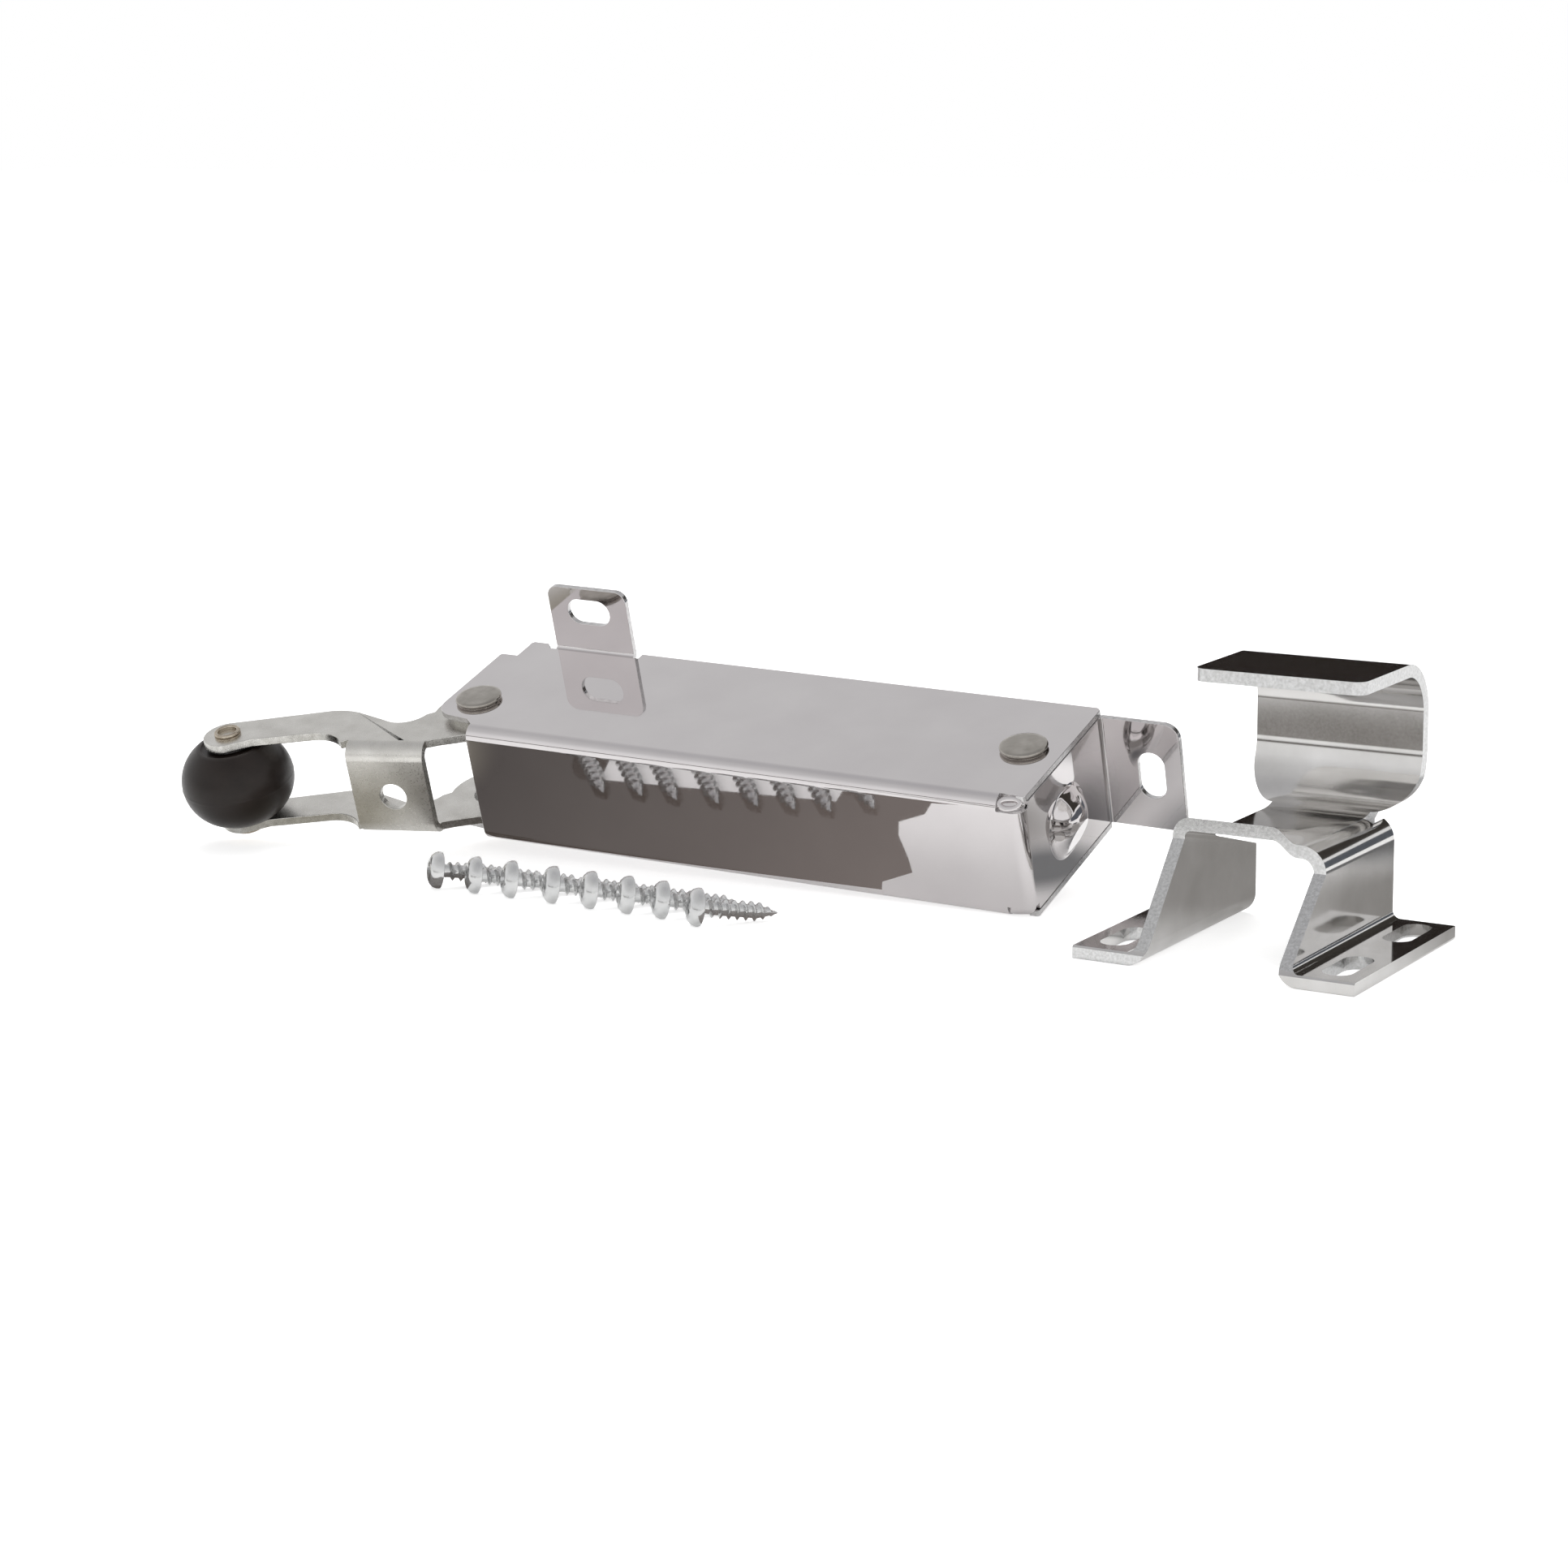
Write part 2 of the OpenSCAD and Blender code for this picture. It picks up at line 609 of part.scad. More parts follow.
module arm() {
    color([0.74, 0.74, 0.71]) place_arm() {
        translate([0, 0, arm_bottom]) arm_plate();
        translate([0, 0, arm_in_top]) arm_plate();
        difference() {
            translate([web_inner[0], web_inner[1], 0]) rotate([90, 0, 90 + web_turn])
                linear_extrude(web_w) web_profile();
            translate([web_inner[0], web_inner[1], mid_z - web_hole_drop]) rotate([0, 0, web_turn])
                translate([web_hole_at, 0, 0]) rotate([-90, 0, 0])
                    cylinder(d = web_hole_d, h = web_bend_r + 1);
        }
    }
}

module arm_bush() {
    flange_t = arm_gap - end_play;
    ring(bush_d, sleeve_d + 2 * turn_gap, arm_sheet + flange_t);
    translate([0, 0, arm_sheet]) ring(bush_flange_d, sleeve_d + 2 * turn_gap, flange_t);
}

module arm_bush_upper() {
    color([0.78, 0.66, 0.42]) place_arm() translate([0, 0, arm_in_top]) arm_bush();
}

module arm_bush_lower() {
    color([0.78, 0.66, 0.42]) place_arm() translate([0, 0, arm_in_bottom]) mirror([0, 0, 1]) arm_bush();
}

module crank_pin() {
    color([0.62, 0.61, 0.58]) place_arm() translate([crank_in_arm[0], crank_in_arm[1], arm_bottom]) {
        cylinder(d = crank_pin_d, h = arm_top - arm_bottom);
        translate([0, 0, -crank_head_t]) cylinder(d = crank_head_d, h = crank_head_t);
        translate([0, 0, arm_top - arm_bottom]) cylinder(d = crank_head_d, h = crank_head_t);
    }
}

crank_spacer_h = (arm_in_top - arm_in_bottom - eye_h) / 2 - end_play;

module crank_spacer(z) {
    color([0.85, 0.84, 0.8]) place_arm() translate([crank_in_arm[0], crank_in_arm[1], z])
        ring(rod_eye_r * 2 - 2, crank_pin_d + 2 * seat_gap, crank_spacer_h);
}

module crank_spacer_upper() {
    crank_spacer(arm_in_top - crank_spacer_h);
}

module crank_spacer_lower() {
    crank_spacer(arm_in_bottom);
}

// Roller end of the arm: tubular rivet with a flared rim above and a flat head below
module roller_rivet() {
    bore_r = eyelet_bore / 2;
    shank_r = eyelet_d / 2;
    rim_r = eyelet_rim_d / 2;
    head_r = eyelet_head_d / 2;
    collar_t = 0.35;
    rim_t = 0.3;
    top = arm_top + eyelet_rise;
    low = arm_bottom - eyelet_head_t;
    color([0.66, 0.6, 0.52]) place_arm() translate([arm_len, 0, 0]) rotate_extrude() polygon([
        [0, low], [head_r - 2 * head_edge, low], [head_r, low + head_edge], [head_r, arm_bottom],
        [shank_r, arm_bottom], [shank_r, arm_top], [rim_r, arm_top], [rim_r, arm_top + collar_t],
        [rim_r - rim_t, arm_top + collar_t], [rim_r - rim_t, top - 2 * rim_t], [rim_r, top - rim_t],
        [rim_r, top], [rim_r - rim_t, top], [bore_r, top - 2 * rim_t],
        [bore_r, arm_in_top - 2], [0, arm_in_top - 2]]);
}

module roller_washer(z) {
    color([0.7, 0.7, 0.68]) place_arm() translate([arm_len, 0, z])
        ring(roller_washer_d, eyelet_d + 2 * seat_gap, roller_washer_t);
}

module roller_washer_upper() {
    roller_washer(arm_in_top - roller_washer_t);
}

module roller_washer_lower() {
    roller_washer(arm_in_bottom);
}

// Barrel with flat ends; its side is one arc
module roller() {
    half = roller_h / 2;
    sink = (roller_d - roller_end_d) / 2;
    side_r = (half * half + sink * sink) / (2 * sink);
    reach = asin(half / side_r);
    color([0.17, 0.155, 0.15]) place_arm() translate([arm_len, 0, mid_z]) difference() {
        rotate_extrude() polygon(concat([[0, -half]],
            arc([roller_d / 2 - side_r, 0], side_r, -reach, reach, 16), [[0, half]]));
        translate([0, 0, -half - 1]) cylinder(d = roller_sleeve_d + 2 * seat_gap, h = roller_h + 2);
    }
}

module roller_sleeve() {
    color([0.78, 0.78, 0.76]) place_arm() translate([arm_len, 0, mid_z - roller_h / 2])
        ring(roller_sleeve_d, eyelet_d + 2 * turn_gap, roller_h);
}

// Spring and its guide
module lying(x, d, h) {
    translate([x, 0, 0]) rotate([0, 90, 0]) cylinder(d = d, h = h);
}

module guide_rod() {
    neck_d = rod_d + 2.6;
    shoulder_d = rod_d + 6;
    color([0.7, 0.7, 0.7]) place_link() difference() {
        union() {
            translate([0, 0, -eye_h / 2]) cylinder(r = rod_eye_r, h = eye_h);
            lying(rod_eye_r - 2, neck_d, rod_seat_at - rod_eye_r + 1);
            lying(rod_seat_at - shoulder_t, shoulder_d, shoulder_t);
            lying(rod_seat_at - eps, rod_d, rod_reach - rod_seat_at - 1);
            translate([rod_reach - 1 - 2 * eps, 0, 0]) rotate([0, 90, 0])
                cylinder(d1 = rod_d, d2 = rod_d - 2, h = 1);
        }
        translate([0, 0, -eye_h]) cylinder(d = crank_pin_d + 2 * turn_gap, h = 2 * eye_h);
    }
}

module spring_seat(bore) {
    pilot_d = spring_d - 2 * wire_d - 2 * pilot_gap;
    difference() {
        union() {
            lying(0, seat_d, seat_t);
            lying(seat_t - eps, pilot_d, pilot_len);
        }
        lying(-1, bore, seat_t + pilot_len + 2);
    }
}

module front_spring_seat() {
    color([0.8, 0.79, 0.76]) place_link() translate([rod_seat_at, 0, 0]) spring_seat(rod_d + 2 * seat_gap);
}

module guide_tube() {
    tube_from = link_len - tube_reach;
    tube_shoulder_d = tube_d + 3.6;
    bottom_at = link_len - tube_seat_at - 1.5;
    color([0.7, 0.7, 0.7]) place_link() difference() {
        union() {
            lying(tube_from, tube_d, tube_reach - tube_seat_at);
            lying(link_len - tube_seat_at, tube_shoulder_d, shoulder_t);
            lying(link_len - tube_seat_at, eye_h - 1, tube_seat_at - tube_eye_r + 3);
            translate([link_len, 0, -eye_h / 2]) cylinder(r = tube_eye_r, h = eye_h);
        }
        lying(tube_from - 1, rod_d + 2 * rod_gap, bottom_at - tube_from + 1);
        translate([link_len, 0, -eye_h]) cylinder(d = sleeve_d + 2 * turn_gap, h = 2 * eye_h);
    }
}

// Plain ring on the tube, against its shoulder
module rear_spring_seat() {
    color([0.8, 0.79, 0.76]) place_link() translate([link_len - tube_seat_at - seat_t, 0, 0])
        difference() {
            lying(0, seat_d, seat_t);
            lying(-1, tube_d + 2 * seat_gap, seat_t + 2);
        }
}

// Compression spring: one closed curl at each end and open curls between
coil_rings = 8;
coil_sides = 6;
closed_pitch = wire_d + 0.5;
coil_turns = spring_curls + 2;
open_pitch = (spring_len - wire_d - 2 * closed_pitch) / spring_curls;
function coil_x(t) = wire_d / 2 + min(t, 1) * closed_pitch
    + max(0, min(t - 1, spring_curls)) * open_pitch + max(0, t - 1 - spring_curls) * closed_pitch;
function coil_point(t, side) = let(out = coil_r + wire_d / 2 * cos(360 * side / coil_sides))
    [coil_x(t) + wire_d / 2 * sin(360 * side / coil_sides), out * cos(360 * t), out * sin(360 * t)];
function coil_middle(t) = [coil_x(t), coil_r * cos(360 * t), coil_r * sin(360 * t)];
least_gap = min([for (i = [0:coil_rings * (coil_turns - 1)])
    norm(coil_middle(i / coil_rings + 1) - coil_middle(i / coil_rings)) - wire_d]);
echo(least_gap_of_the_spring = least_gap);

module spring() {
    last = coil_rings * coil_turns;
    points = [for (i = [0:last], s = [0:coil_sides - 1]) coil_point(i / coil_rings, s)];
    skin = [for (i = [0:last - 1], s = [0:coil_sides - 1], half = [0, 1])
        let(a = i * coil_sides + s, b = i * coil_sides + (s + 1) % coil_sides)
        half == 0 ? [a, b, b + coil_sides] : [a, b + coil_sides, a + coil_sides]];
    start = [for (s = [1:coil_sides - 2]) [0, s + 1, s]];
    end = [for (s = [1:coil_sides - 2]) last * coil_sides * [1, 1, 1] + [0, s, s + 1]];
    color([0.45, 0.45, 0.47]) place_link() translate([rod_seat_at + seat_t, 0, 0])
        polyhedron(points, concat(skin, start, end));
}

// Strike, from its right front corner: x runs to the right, y to the rear
module place_strike() {
    on_table() translate([strike_x, -strike_ahead, 0]) children();
}

// Sheet bent about the y axis, from +x to +z
module long_bend(x, z, r_out, turn, before = 0, after = 0) {
    translate([x, 0, z]) rotate([-90, 0, 0]) rotate([0, 0, turn])
        bend(r_out, strike_sheet, strike_depth, before, after);
}

// Side view of a leg: its front edge rises at a slope, its top runs from top_z to rear_z
module leg_side(top_z, rear_z, over = 0) {
    edge_h = 0.4;
    translate([-strike_w - 1, 0, 0]) rotate([90, 0, 90]) linear_extrude(strike_w + 2) polygon([
        [0, -1], [0, strike_sheet - edge_h], [1, strike_sheet + edge_h], [platform_front, top_z],
        [platform_front, top_z + over], [strike_depth, rear_z + over], [strike_depth, -1]]);
}

module foot(outer, leg) {
    slot_x = outer - sign(outer - leg) * foot_slot_inset;
    difference() {
        translate([min(outer, leg), 0, 0]) cube([abs(outer - leg), strike_depth, strike_sheet]);
        for (i = [0, 1]) translate([slot_x, foot_slot_front + i * foot_slot_pitch, -1])
            rotate([0, 0, 90]) slot(foot_slot_len, foot_slot_w, strike_sheet + 2);
    }
}

module right_leg() {
    difference() {
        intersection() {
            union() {
                long_bend(leg_right + foot_bend_r, foot_bend_out, foot_bend_out, 90, join_len);
                translate([leg_right - strike_sheet, 0, foot_bend_out])
                    cube([strike_sheet, strike_depth, leg_top - foot_bend_out]);
                long_bend(leg_right - shoulder_r, leg_top, shoulder_r, -90, join_len / 2, join_len);
            }
            leg_side(leg_top, leg_top, platform_h);
        }
        translate([neck_right, strike_depth - neck_notch_len, leg_top])
            cube([neck_notch_w, neck_notch_len + 1, platform_h]);
    }
}

// Height of the strap, and of the line where its bend passes into the left leg
function strap_z(y) = platform_h + strap_rise - (y - platform_front) * tan(strap_slope);
function strap_bend_z(y) = strap_z(y) - strap_bend_r / cos(strap_slope);

// Straight wall under the strap's bend, which the left leg ends in
strap_wall = 1;

// The bend is a little thinner than the sheet, so its sloping walls never lie in the leg's or the strap's
strap_step = 0.02;
strap_bend_t = strike_sheet - 2 * strap_step;
strap_overlap = 0.3;

module left_leg() {
    intersection() {
        union() {
            long_bend(leg_left - foot_bend_r, foot_bend_out, foot_bend_out, 0, 0, join_len);
            translate([leg_left, 0, foot_bend_out]) cube([strike_sheet, strike_depth, platform_h]);
        }
        leg_side(
            strap_bend_z(platform_front) - strap_wall / 2,
            strap_bend_z(strike_depth) - strap_wall / 2);
    }
    intersection() {
        translate([leg_left + strap_bend_r, platform_front, strap_z(platform_front)])
            rotate([-strap_slope, 0, 0]) translate([0, -strap_bend_r, -strap_bend_r])
                rotate([-90, 0, 0]) rotate([0, 0, 180]) {
                    bend(strap_bend_r - strap_step, strap_bend_t, strike_depth + strap_bend_r);
                    translate([strap_inner_r + strap_step, -strap_wall, 0])
                        cube([strap_bend_t, strap_wall, strike_depth + strap_bend_r]);
                }
        strap_bend_side();
    }
}

// Side view of the bend at the strap: full in front, then it runs out along the leg
module strap_bend_side() {
    side_end = platform_front + strap_side_depth;
    low = side_end + 2;
    far = platform_front + strap_depth + 3;
    over = platform_h + 2 * strap_rise;
    rear_z = strap_bend_z(strike_depth);
    translate([leg_left - 1, 0, 0]) rotate([90, 0, 90]) linear_extrude(strap_bend_r + 1 + eps) polygon([
        [platform_front, strap_bend_z(platform_front) - strap_wall],
        [platform_front, over], [side_end, over],
        [low, strap_bend_z(low) + 2.5], [far, strap_bend_z(far) + 1],
        [strike_depth, rear_z + 0.2], [strike_depth, rear_z - strap_wall]]);
}

// Raised strap, its curved ramp and the level platform
ramp_steps = 8;
strap_end = leg_right - shoulder_r - 1 - strap_ramp;
function ease(t) = (1 - cos(180 * t)) / 2;
function strap_line(lift_h) = concat([[leg_left + strap_bend_r - strap_overlap, lift_h]],
    [for (i = [0:ramp_steps])
        [strap_end + strap_ramp * i / ramp_steps, lift_h * (1 - ease(i / ramp_steps))]],
    [[leg_right - shoulder_r, 0]]);

// Two triangles per step between two rows of n points
function quads(row_a, row_b, n) = [for (i = [0:n - 2], f = [0, 1])
    f == 0 ? [row_a + i, row_b + i, row_b + i + 1] : [row_a + i, row_b + i + 1, row_a + i + 1]];

module strap() {
    front = strap_line(strap_rise);
    n = len(front);
    rear_y = platform_front + strap_depth;
    points = concat(
        [for (p = front) [p[0], platform_front, platform_h + p[1]]],
        [for (p = front) [p[0], rear_y, platform_h]],
        [for (p = front) [p[0], platform_front, platform_h + p[1] - strike_sheet]],
        [for (p = front) [p[0], rear_y, platform_h - strike_sheet]]);
    faces = concat(
        quads(0, n, n), quads(3 * n, 2 * n, n), quads(2 * n, 0, n), quads(n, 3 * n, n),
        [[0, 2 * n, 3 * n], [0, 3 * n, n], [n - 1, 2 * n - 1, 4 * n - 1], [n - 1, 4 * n - 1, 3 * n - 1]]);
    polyhedron(points, faces);
}

module platform() {
    from_y = platform_front + strap_depth;
    bend_x = leg_right - shoulder_r;
    translate([neck_left, from_y, platform_h - strike_sheet])
        cube([bend_x - neck_left, strike_depth - neck_notch_len - from_y, strike_sheet]);
    translate([neck_left, from_y, platform_h - strike_sheet])
        cube([neck_w, hook_wall_at - hook_curve_r - from_y, strike_sheet]);
}

module hook_profile() {
    curve_mid = [hook_wall_at - hook_curve_r, platform_h + hook_curve_r];
    lip_mid = [hook_wall_at - lip_bend_r, lip_z - lip_bend_r];
    polygon(concat([[curve_mid[0] - 3, platform_h - strike_sheet]],
        arc(curve_mid, hook_curve_r + strike_sheet, -90, 0, 14),
        arc(lip_mid, lip_bend_r + strike_sheet, 0, 90, 10),
        [[hook_wall_at - lip_reach, lip_z + strike_sheet], [hook_wall_at - lip_reach, lip_z]],
        arc(lip_mid, lip_bend_r, 90, 0, 10), arc(curve_mid, hook_curve_r, 0, -90, 14),
        [[curve_mid[0] - 3, platform_h]]));
}

// Outline of the hook seen from the front: it widens from the neck
module hook_front() {
    widen_r = (hook_w - neck_w) / 2;
    low = platform_h - strike_sheet - 1;
    turn_z = platform_h + widen_r + 0.8;
    right = hook_mid + hook_w / 2;
    left = hook_mid - hook_w / 2;
    polygon(concat([[neck_left, low], [neck_right, low]],
        arc([right - widen_r, turn_z], widen_r, -90, 0, 8),
        [[right, lip_z + strike_sheet + 1], [left, lip_z + strike_sheet + 1]],
        arc([left + widen_r, turn_z], widen_r, 180, 270, 8)));
}

module strike() {
    color([0.62, 0.63, 0.65]) place_strike() {
        foot(0, leg_right + foot_bend_r);
        foot(-strike_w, leg_left - foot_bend_r);
        right_leg();
        left_leg();
        strap();
        platform();
        intersection() {
            translate([-strike_w, 0, 0]) rotate([90, 0, 90]) linear_extrude(strike_w) hook_profile();
            translate([0, strike_w + 20, 0]) rotate([90, 0, 0]) linear_extrude(strike_w + 20) hook_front();
            hook_plan();
        }
    }
}

// Round front corners of the lip
module hook_plan() {
    translate([hook_mid - hook_w / 2 - 1, hook_wall_at - lip_reach + lip_corner_r, 0])
        cube([hook_w + 2, lip_reach + 20, 2 * lip_z]);
    translate([hook_mid - hook_w / 2 + lip_corner_r, 0, 0])
        cube([hook_w - 2 * lip_corner_r, hook_wall_at, 2 * lip_z]);
    for (s = [-1, 1])
        translate([hook_mid + s * (hook_w / 2 - lip_corner_r), hook_wall_at - lip_reach + lip_corner_r, 0])
            cylinder(r = lip_corner_r, h = 2 * lip_z);
}

// Screws
module screw() {
    core = screw_core_d / 2;
    crest = screw_d / 2;
    head_r = screw_head_d / 2;
    head_side_h = 1.6;
    thread_from = 1.2;
    crests = floor((screw_len - screw_tip_len - thread_from) / thread_pitch);
    recess_len = 5;
    recess_w = 1.1;
    recess_depth = 1.4;
    rotate([0, 90, 0]) difference() {
        rotate_extrude() polygon(concat(
            [[0, -screw_head_h], [head_r - 2.6, -screw_head_h], [head_r - 1.1, -screw_head_h + 0.5]],
            [[head_r, -head_side_h], [head_r, 0], [core, 0], [core, thread_from]],
            [for (i = [0:crests - 1], p = [0:2])
                [p == 1 ? crest : core, thread_from + (i + 0.1 + 0.4 * p) * thread_pitch]],
            [[core, screw_len - screw_tip_len], [0, screw_len]]));
        for (a = [0, 90]) rotate([0, 0, a])
            translate([-recess_len / 2, -recess_w / 2, -screw_head_h - 1])
                cube([recess_len, recess_w, 1 + recess_depth]);
    }
}

module screws() {
    color([0.78, 0.79, 0.8]) on_table() for (i = [0:screw_count - 1])
        translate([screw_place(i)[0], screw_place(i)[1], screw_head_low])
            rotate([0, 0, screw_angle]) rotate([0, screw_dip, 0]) screw();
}

housing();
arm_rivet();
arm_sleeve();
anchor_rivet();
anchor_sleeve();
anchor_spacer_upper();
anchor_spacer_lower();
arm();
arm_bush_upper();
arm_bush_lower();
crank_pin();
crank_spacer_upper();
crank_spacer_lower();
roller_rivet();
roller_washer_upper();
roller_washer_lower();
roller();
roller_sleeve();
guide_rod();
front_spring_seat();
guide_tube();
rear_spring_seat();
spring();
strike();
screws();
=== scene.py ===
import math

import bmesh
import bpy
from mathutils import Matrix, Vector
from mathutils.bvhtree import BVHTree


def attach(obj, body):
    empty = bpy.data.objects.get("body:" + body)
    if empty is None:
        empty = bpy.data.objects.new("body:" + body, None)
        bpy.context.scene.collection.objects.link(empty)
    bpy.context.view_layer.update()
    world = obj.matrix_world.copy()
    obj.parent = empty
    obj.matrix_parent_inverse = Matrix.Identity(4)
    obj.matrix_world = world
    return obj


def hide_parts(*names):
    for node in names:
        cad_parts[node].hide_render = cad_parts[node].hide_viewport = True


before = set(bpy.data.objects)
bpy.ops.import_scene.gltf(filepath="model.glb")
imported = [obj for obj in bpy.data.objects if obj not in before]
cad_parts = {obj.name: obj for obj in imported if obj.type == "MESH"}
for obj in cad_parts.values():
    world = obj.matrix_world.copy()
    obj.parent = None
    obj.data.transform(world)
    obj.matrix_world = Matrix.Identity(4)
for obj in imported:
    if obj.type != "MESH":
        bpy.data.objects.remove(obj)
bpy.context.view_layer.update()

scene = bpy.context.scene

# Shapes are made in millimetres and end in metres
MM = 0.001

# Points of a new shape that are closer than this are one point
TINY = 0.0005

# Points of a finished piece that are closer than this are merged, and nearly flat edges dissolved
MERGE = 0.003
FLAT_DEGREES = 0.3


# Helpers for places
def turn(axis, degrees):
    return Matrix.Rotation(math.radians(degrees), 4, axis)


def move(x, y, z):
    return Matrix.Translation((x, y, z))


def polar(r, degrees):
    return r * math.cos(math.radians(degrees)), r * math.sin(math.radians(degrees))


# Places of the three loose groups, as the CAD model has them
CLOSER = move(-83.4803, -7.4135, 3.6099) @ turn("Z", 3) @ turn("Y", 1.6938) @ turn("X", 17.8808)
STRIKE = move(162.5086, -26.9537, 0)
TABLE = move(70.3086, 0.6463, 0)

# Linkage in the closer: the arm on its rivet, and the link from its crank to the spring's rivet
ARM_ANGLE = 204
PIVOT = (-4.8, 15)
ANCHOR = (144, 24.2)
CRANK_LEN = 16
CRANK_DIR = 23.6
CRANK_STEP = polar(CRANK_LEN, CRANK_DIR)
CRANK = (PIVOT[0] + CRANK_STEP[0], PIVOT[1] + CRANK_STEP[1])
LINK_STEP = (ANCHOR[0] - CRANK[0], ANCHOR[1] - CRANK[1])
LINK_DIR = math.degrees(math.atan2(LINK_STEP[1], LINK_STEP[0]))
LINK_LEN = math.hypot(LINK_STEP[0], LINK_STEP[1])
MID_Z = 16.25
ARM = CLOSER @ move(PIVOT[0], PIVOT[1], 0) @ turn("Z", ARM_ANGLE)
LINK = CLOSER @ move(CRANK[0], CRANK[1], MID_Z) @ turn("Z", LINK_DIR)

# Ways to place a profile: which axes its two sides lie along, and which one it is drawn out along
ALONG_X = Matrix(((0, 0, 1, 0), (1, 0, 0, 0), (0, 1, 0, 0), (0, 0, 0, 1)))
ALONG_Y = Matrix(((1, 0, 0, 0), (0, 0, 1, 0), (0, 1, 0, 0), (0, 0, 0, 1)))
ALONG_Y_FROM_ZX = Matrix(((0, 1, 0, 0), (0, 0, 1, 0), (1, 0, 0, 0), (0, 0, 0, 1)))
ALONG_Z_FROM_YX = Matrix(((0, 1, 0, 0), (1, 0, 0, 0), (0, 0, 1, 0), (0, 0, 0, 1)))


# Helpers for shapes
def arc(x, y, r, start, end, steps=16):
    points = [polar(r, start + (end - start) * i / steps) for i in range(steps + 1)]
    return [(x + dx, y + dy) for dx, dy in points]


# A circle of radius 1, as 36 points
ROUND = arc(0, 0, 1, 0, 350, 35)


def solid(verts, faces, at):
    mesh = bpy.data.meshes.new("shape")
    mesh.from_pydata([at @ Vector(v) for v in verts], [], faces)
    clean = bmesh.new()
    clean.from_mesh(mesh)
    bmesh.ops.remove_doubles(clean, verts=clean.verts, dist=TINY)
    bmesh.ops.dissolve_degenerate(clean, edges=clean.edges, dist=TINY)
    bmesh.ops.recalc_face_normals(clean, faces=clean.faces)
    clean.to_mesh(mesh)
    clean.free()
    piece = bpy.data.objects.new("shape", mesh)
    scene.collection.objects.link(piece)
    return piece


def prism(points, start, end, at):
    n = len(points)
    verts = [(x, y, z) for z in (start, end) for x, y in points]
    faces = [tuple(range(n)), tuple(range(n, 2 * n))]
    faces += [(i, (i + 1) % n, n + (i + 1) % n, n + i) for i in range(n)]
    return solid(verts, faces, at)


def box(x0, x1, y0, y1, z0, z1, at):
    return prism([(x0, y0), (x1, y0), (x1, y1), (x0, y1)], z0, z1, at)


def circle(r, z, steps):
    turns = [2 * math.pi * i / steps for i in range(steps)]
    return [(r * math.cos(a), r * math.sin(a), z) for a in turns]


def spindle(start, rings, end, at):
    """Joins rings around the z axis and closes them at the heights start and end on that axis."""
    steps = len(rings[0])
    verts = [(0, 0, start)] + [p for ring in rings for p in ring] + [(0, 0, end)]
    last = 1 + (len(rings) - 1) * steps
    faces = []
    for i in range(steps):
        j = (i + 1) % steps
        faces.append((0, 1 + j, 1 + i))
        for a in range(1, last, steps):
            b = a + steps
            faces.append((a + i, a + j, b + j, b + i))
        faces.append((last + i, last + j, len(verts) - 1))
    return solid(verts, faces, at)


def lathe(profile, at, steps=96):
    """Turns a profile of (radius, height) about z; both ends lie on the axis."""
    rings = [circle(r, z, steps) for r, z in profile[1:-1]]
    return spindle(profile[0][1], rings, profile[-1][1], at)


def loft(rings, at):
    """Joins rings of equally many points and closes both ends."""
    n = len(rings[0])
    verts = [p for ring in rings for p in ring]
    faces = [tuple(range(n)), tuple(range((len(rings) - 1) * n, len(rings) * n))]
    for k in range(len(rings) - 1):
        a, b = k * n, (k + 1) * n
        faces += [(a + i, a + (i + 1) % n, b + (i + 1) % n, b + i) for i in range(n)]
    return solid(verts, faces, at)


def stadium(half_len, r, steps=16):
    return arc(half_len, 0, r, -90, 90, steps) + arc(-half_len, 0, r, 90, 270, steps)


def combine(base, tools, how):
    for tool in tools:
        change = base.modifiers.new("boolean", "BOOLEAN")
        change.operation = how
        change.solver = "EXACT"
        change.object = tool
        graph = bpy.context.evaluated_depsgraph_get()
        mesh = bpy.data.meshes.new_from_object(base.evaluated_get(graph))
        base.modifiers.clear()
        base.data = mesh
        bpy.data.objects.remove(tool)
    return base


def union(base, *tools):
    return combine(base, tools, "UNION")


def cut(base, *tools):
    return combine(base, tools, "DIFFERENCE")


def common(base, *tools):
    return combine(base, tools, "INTERSECT")


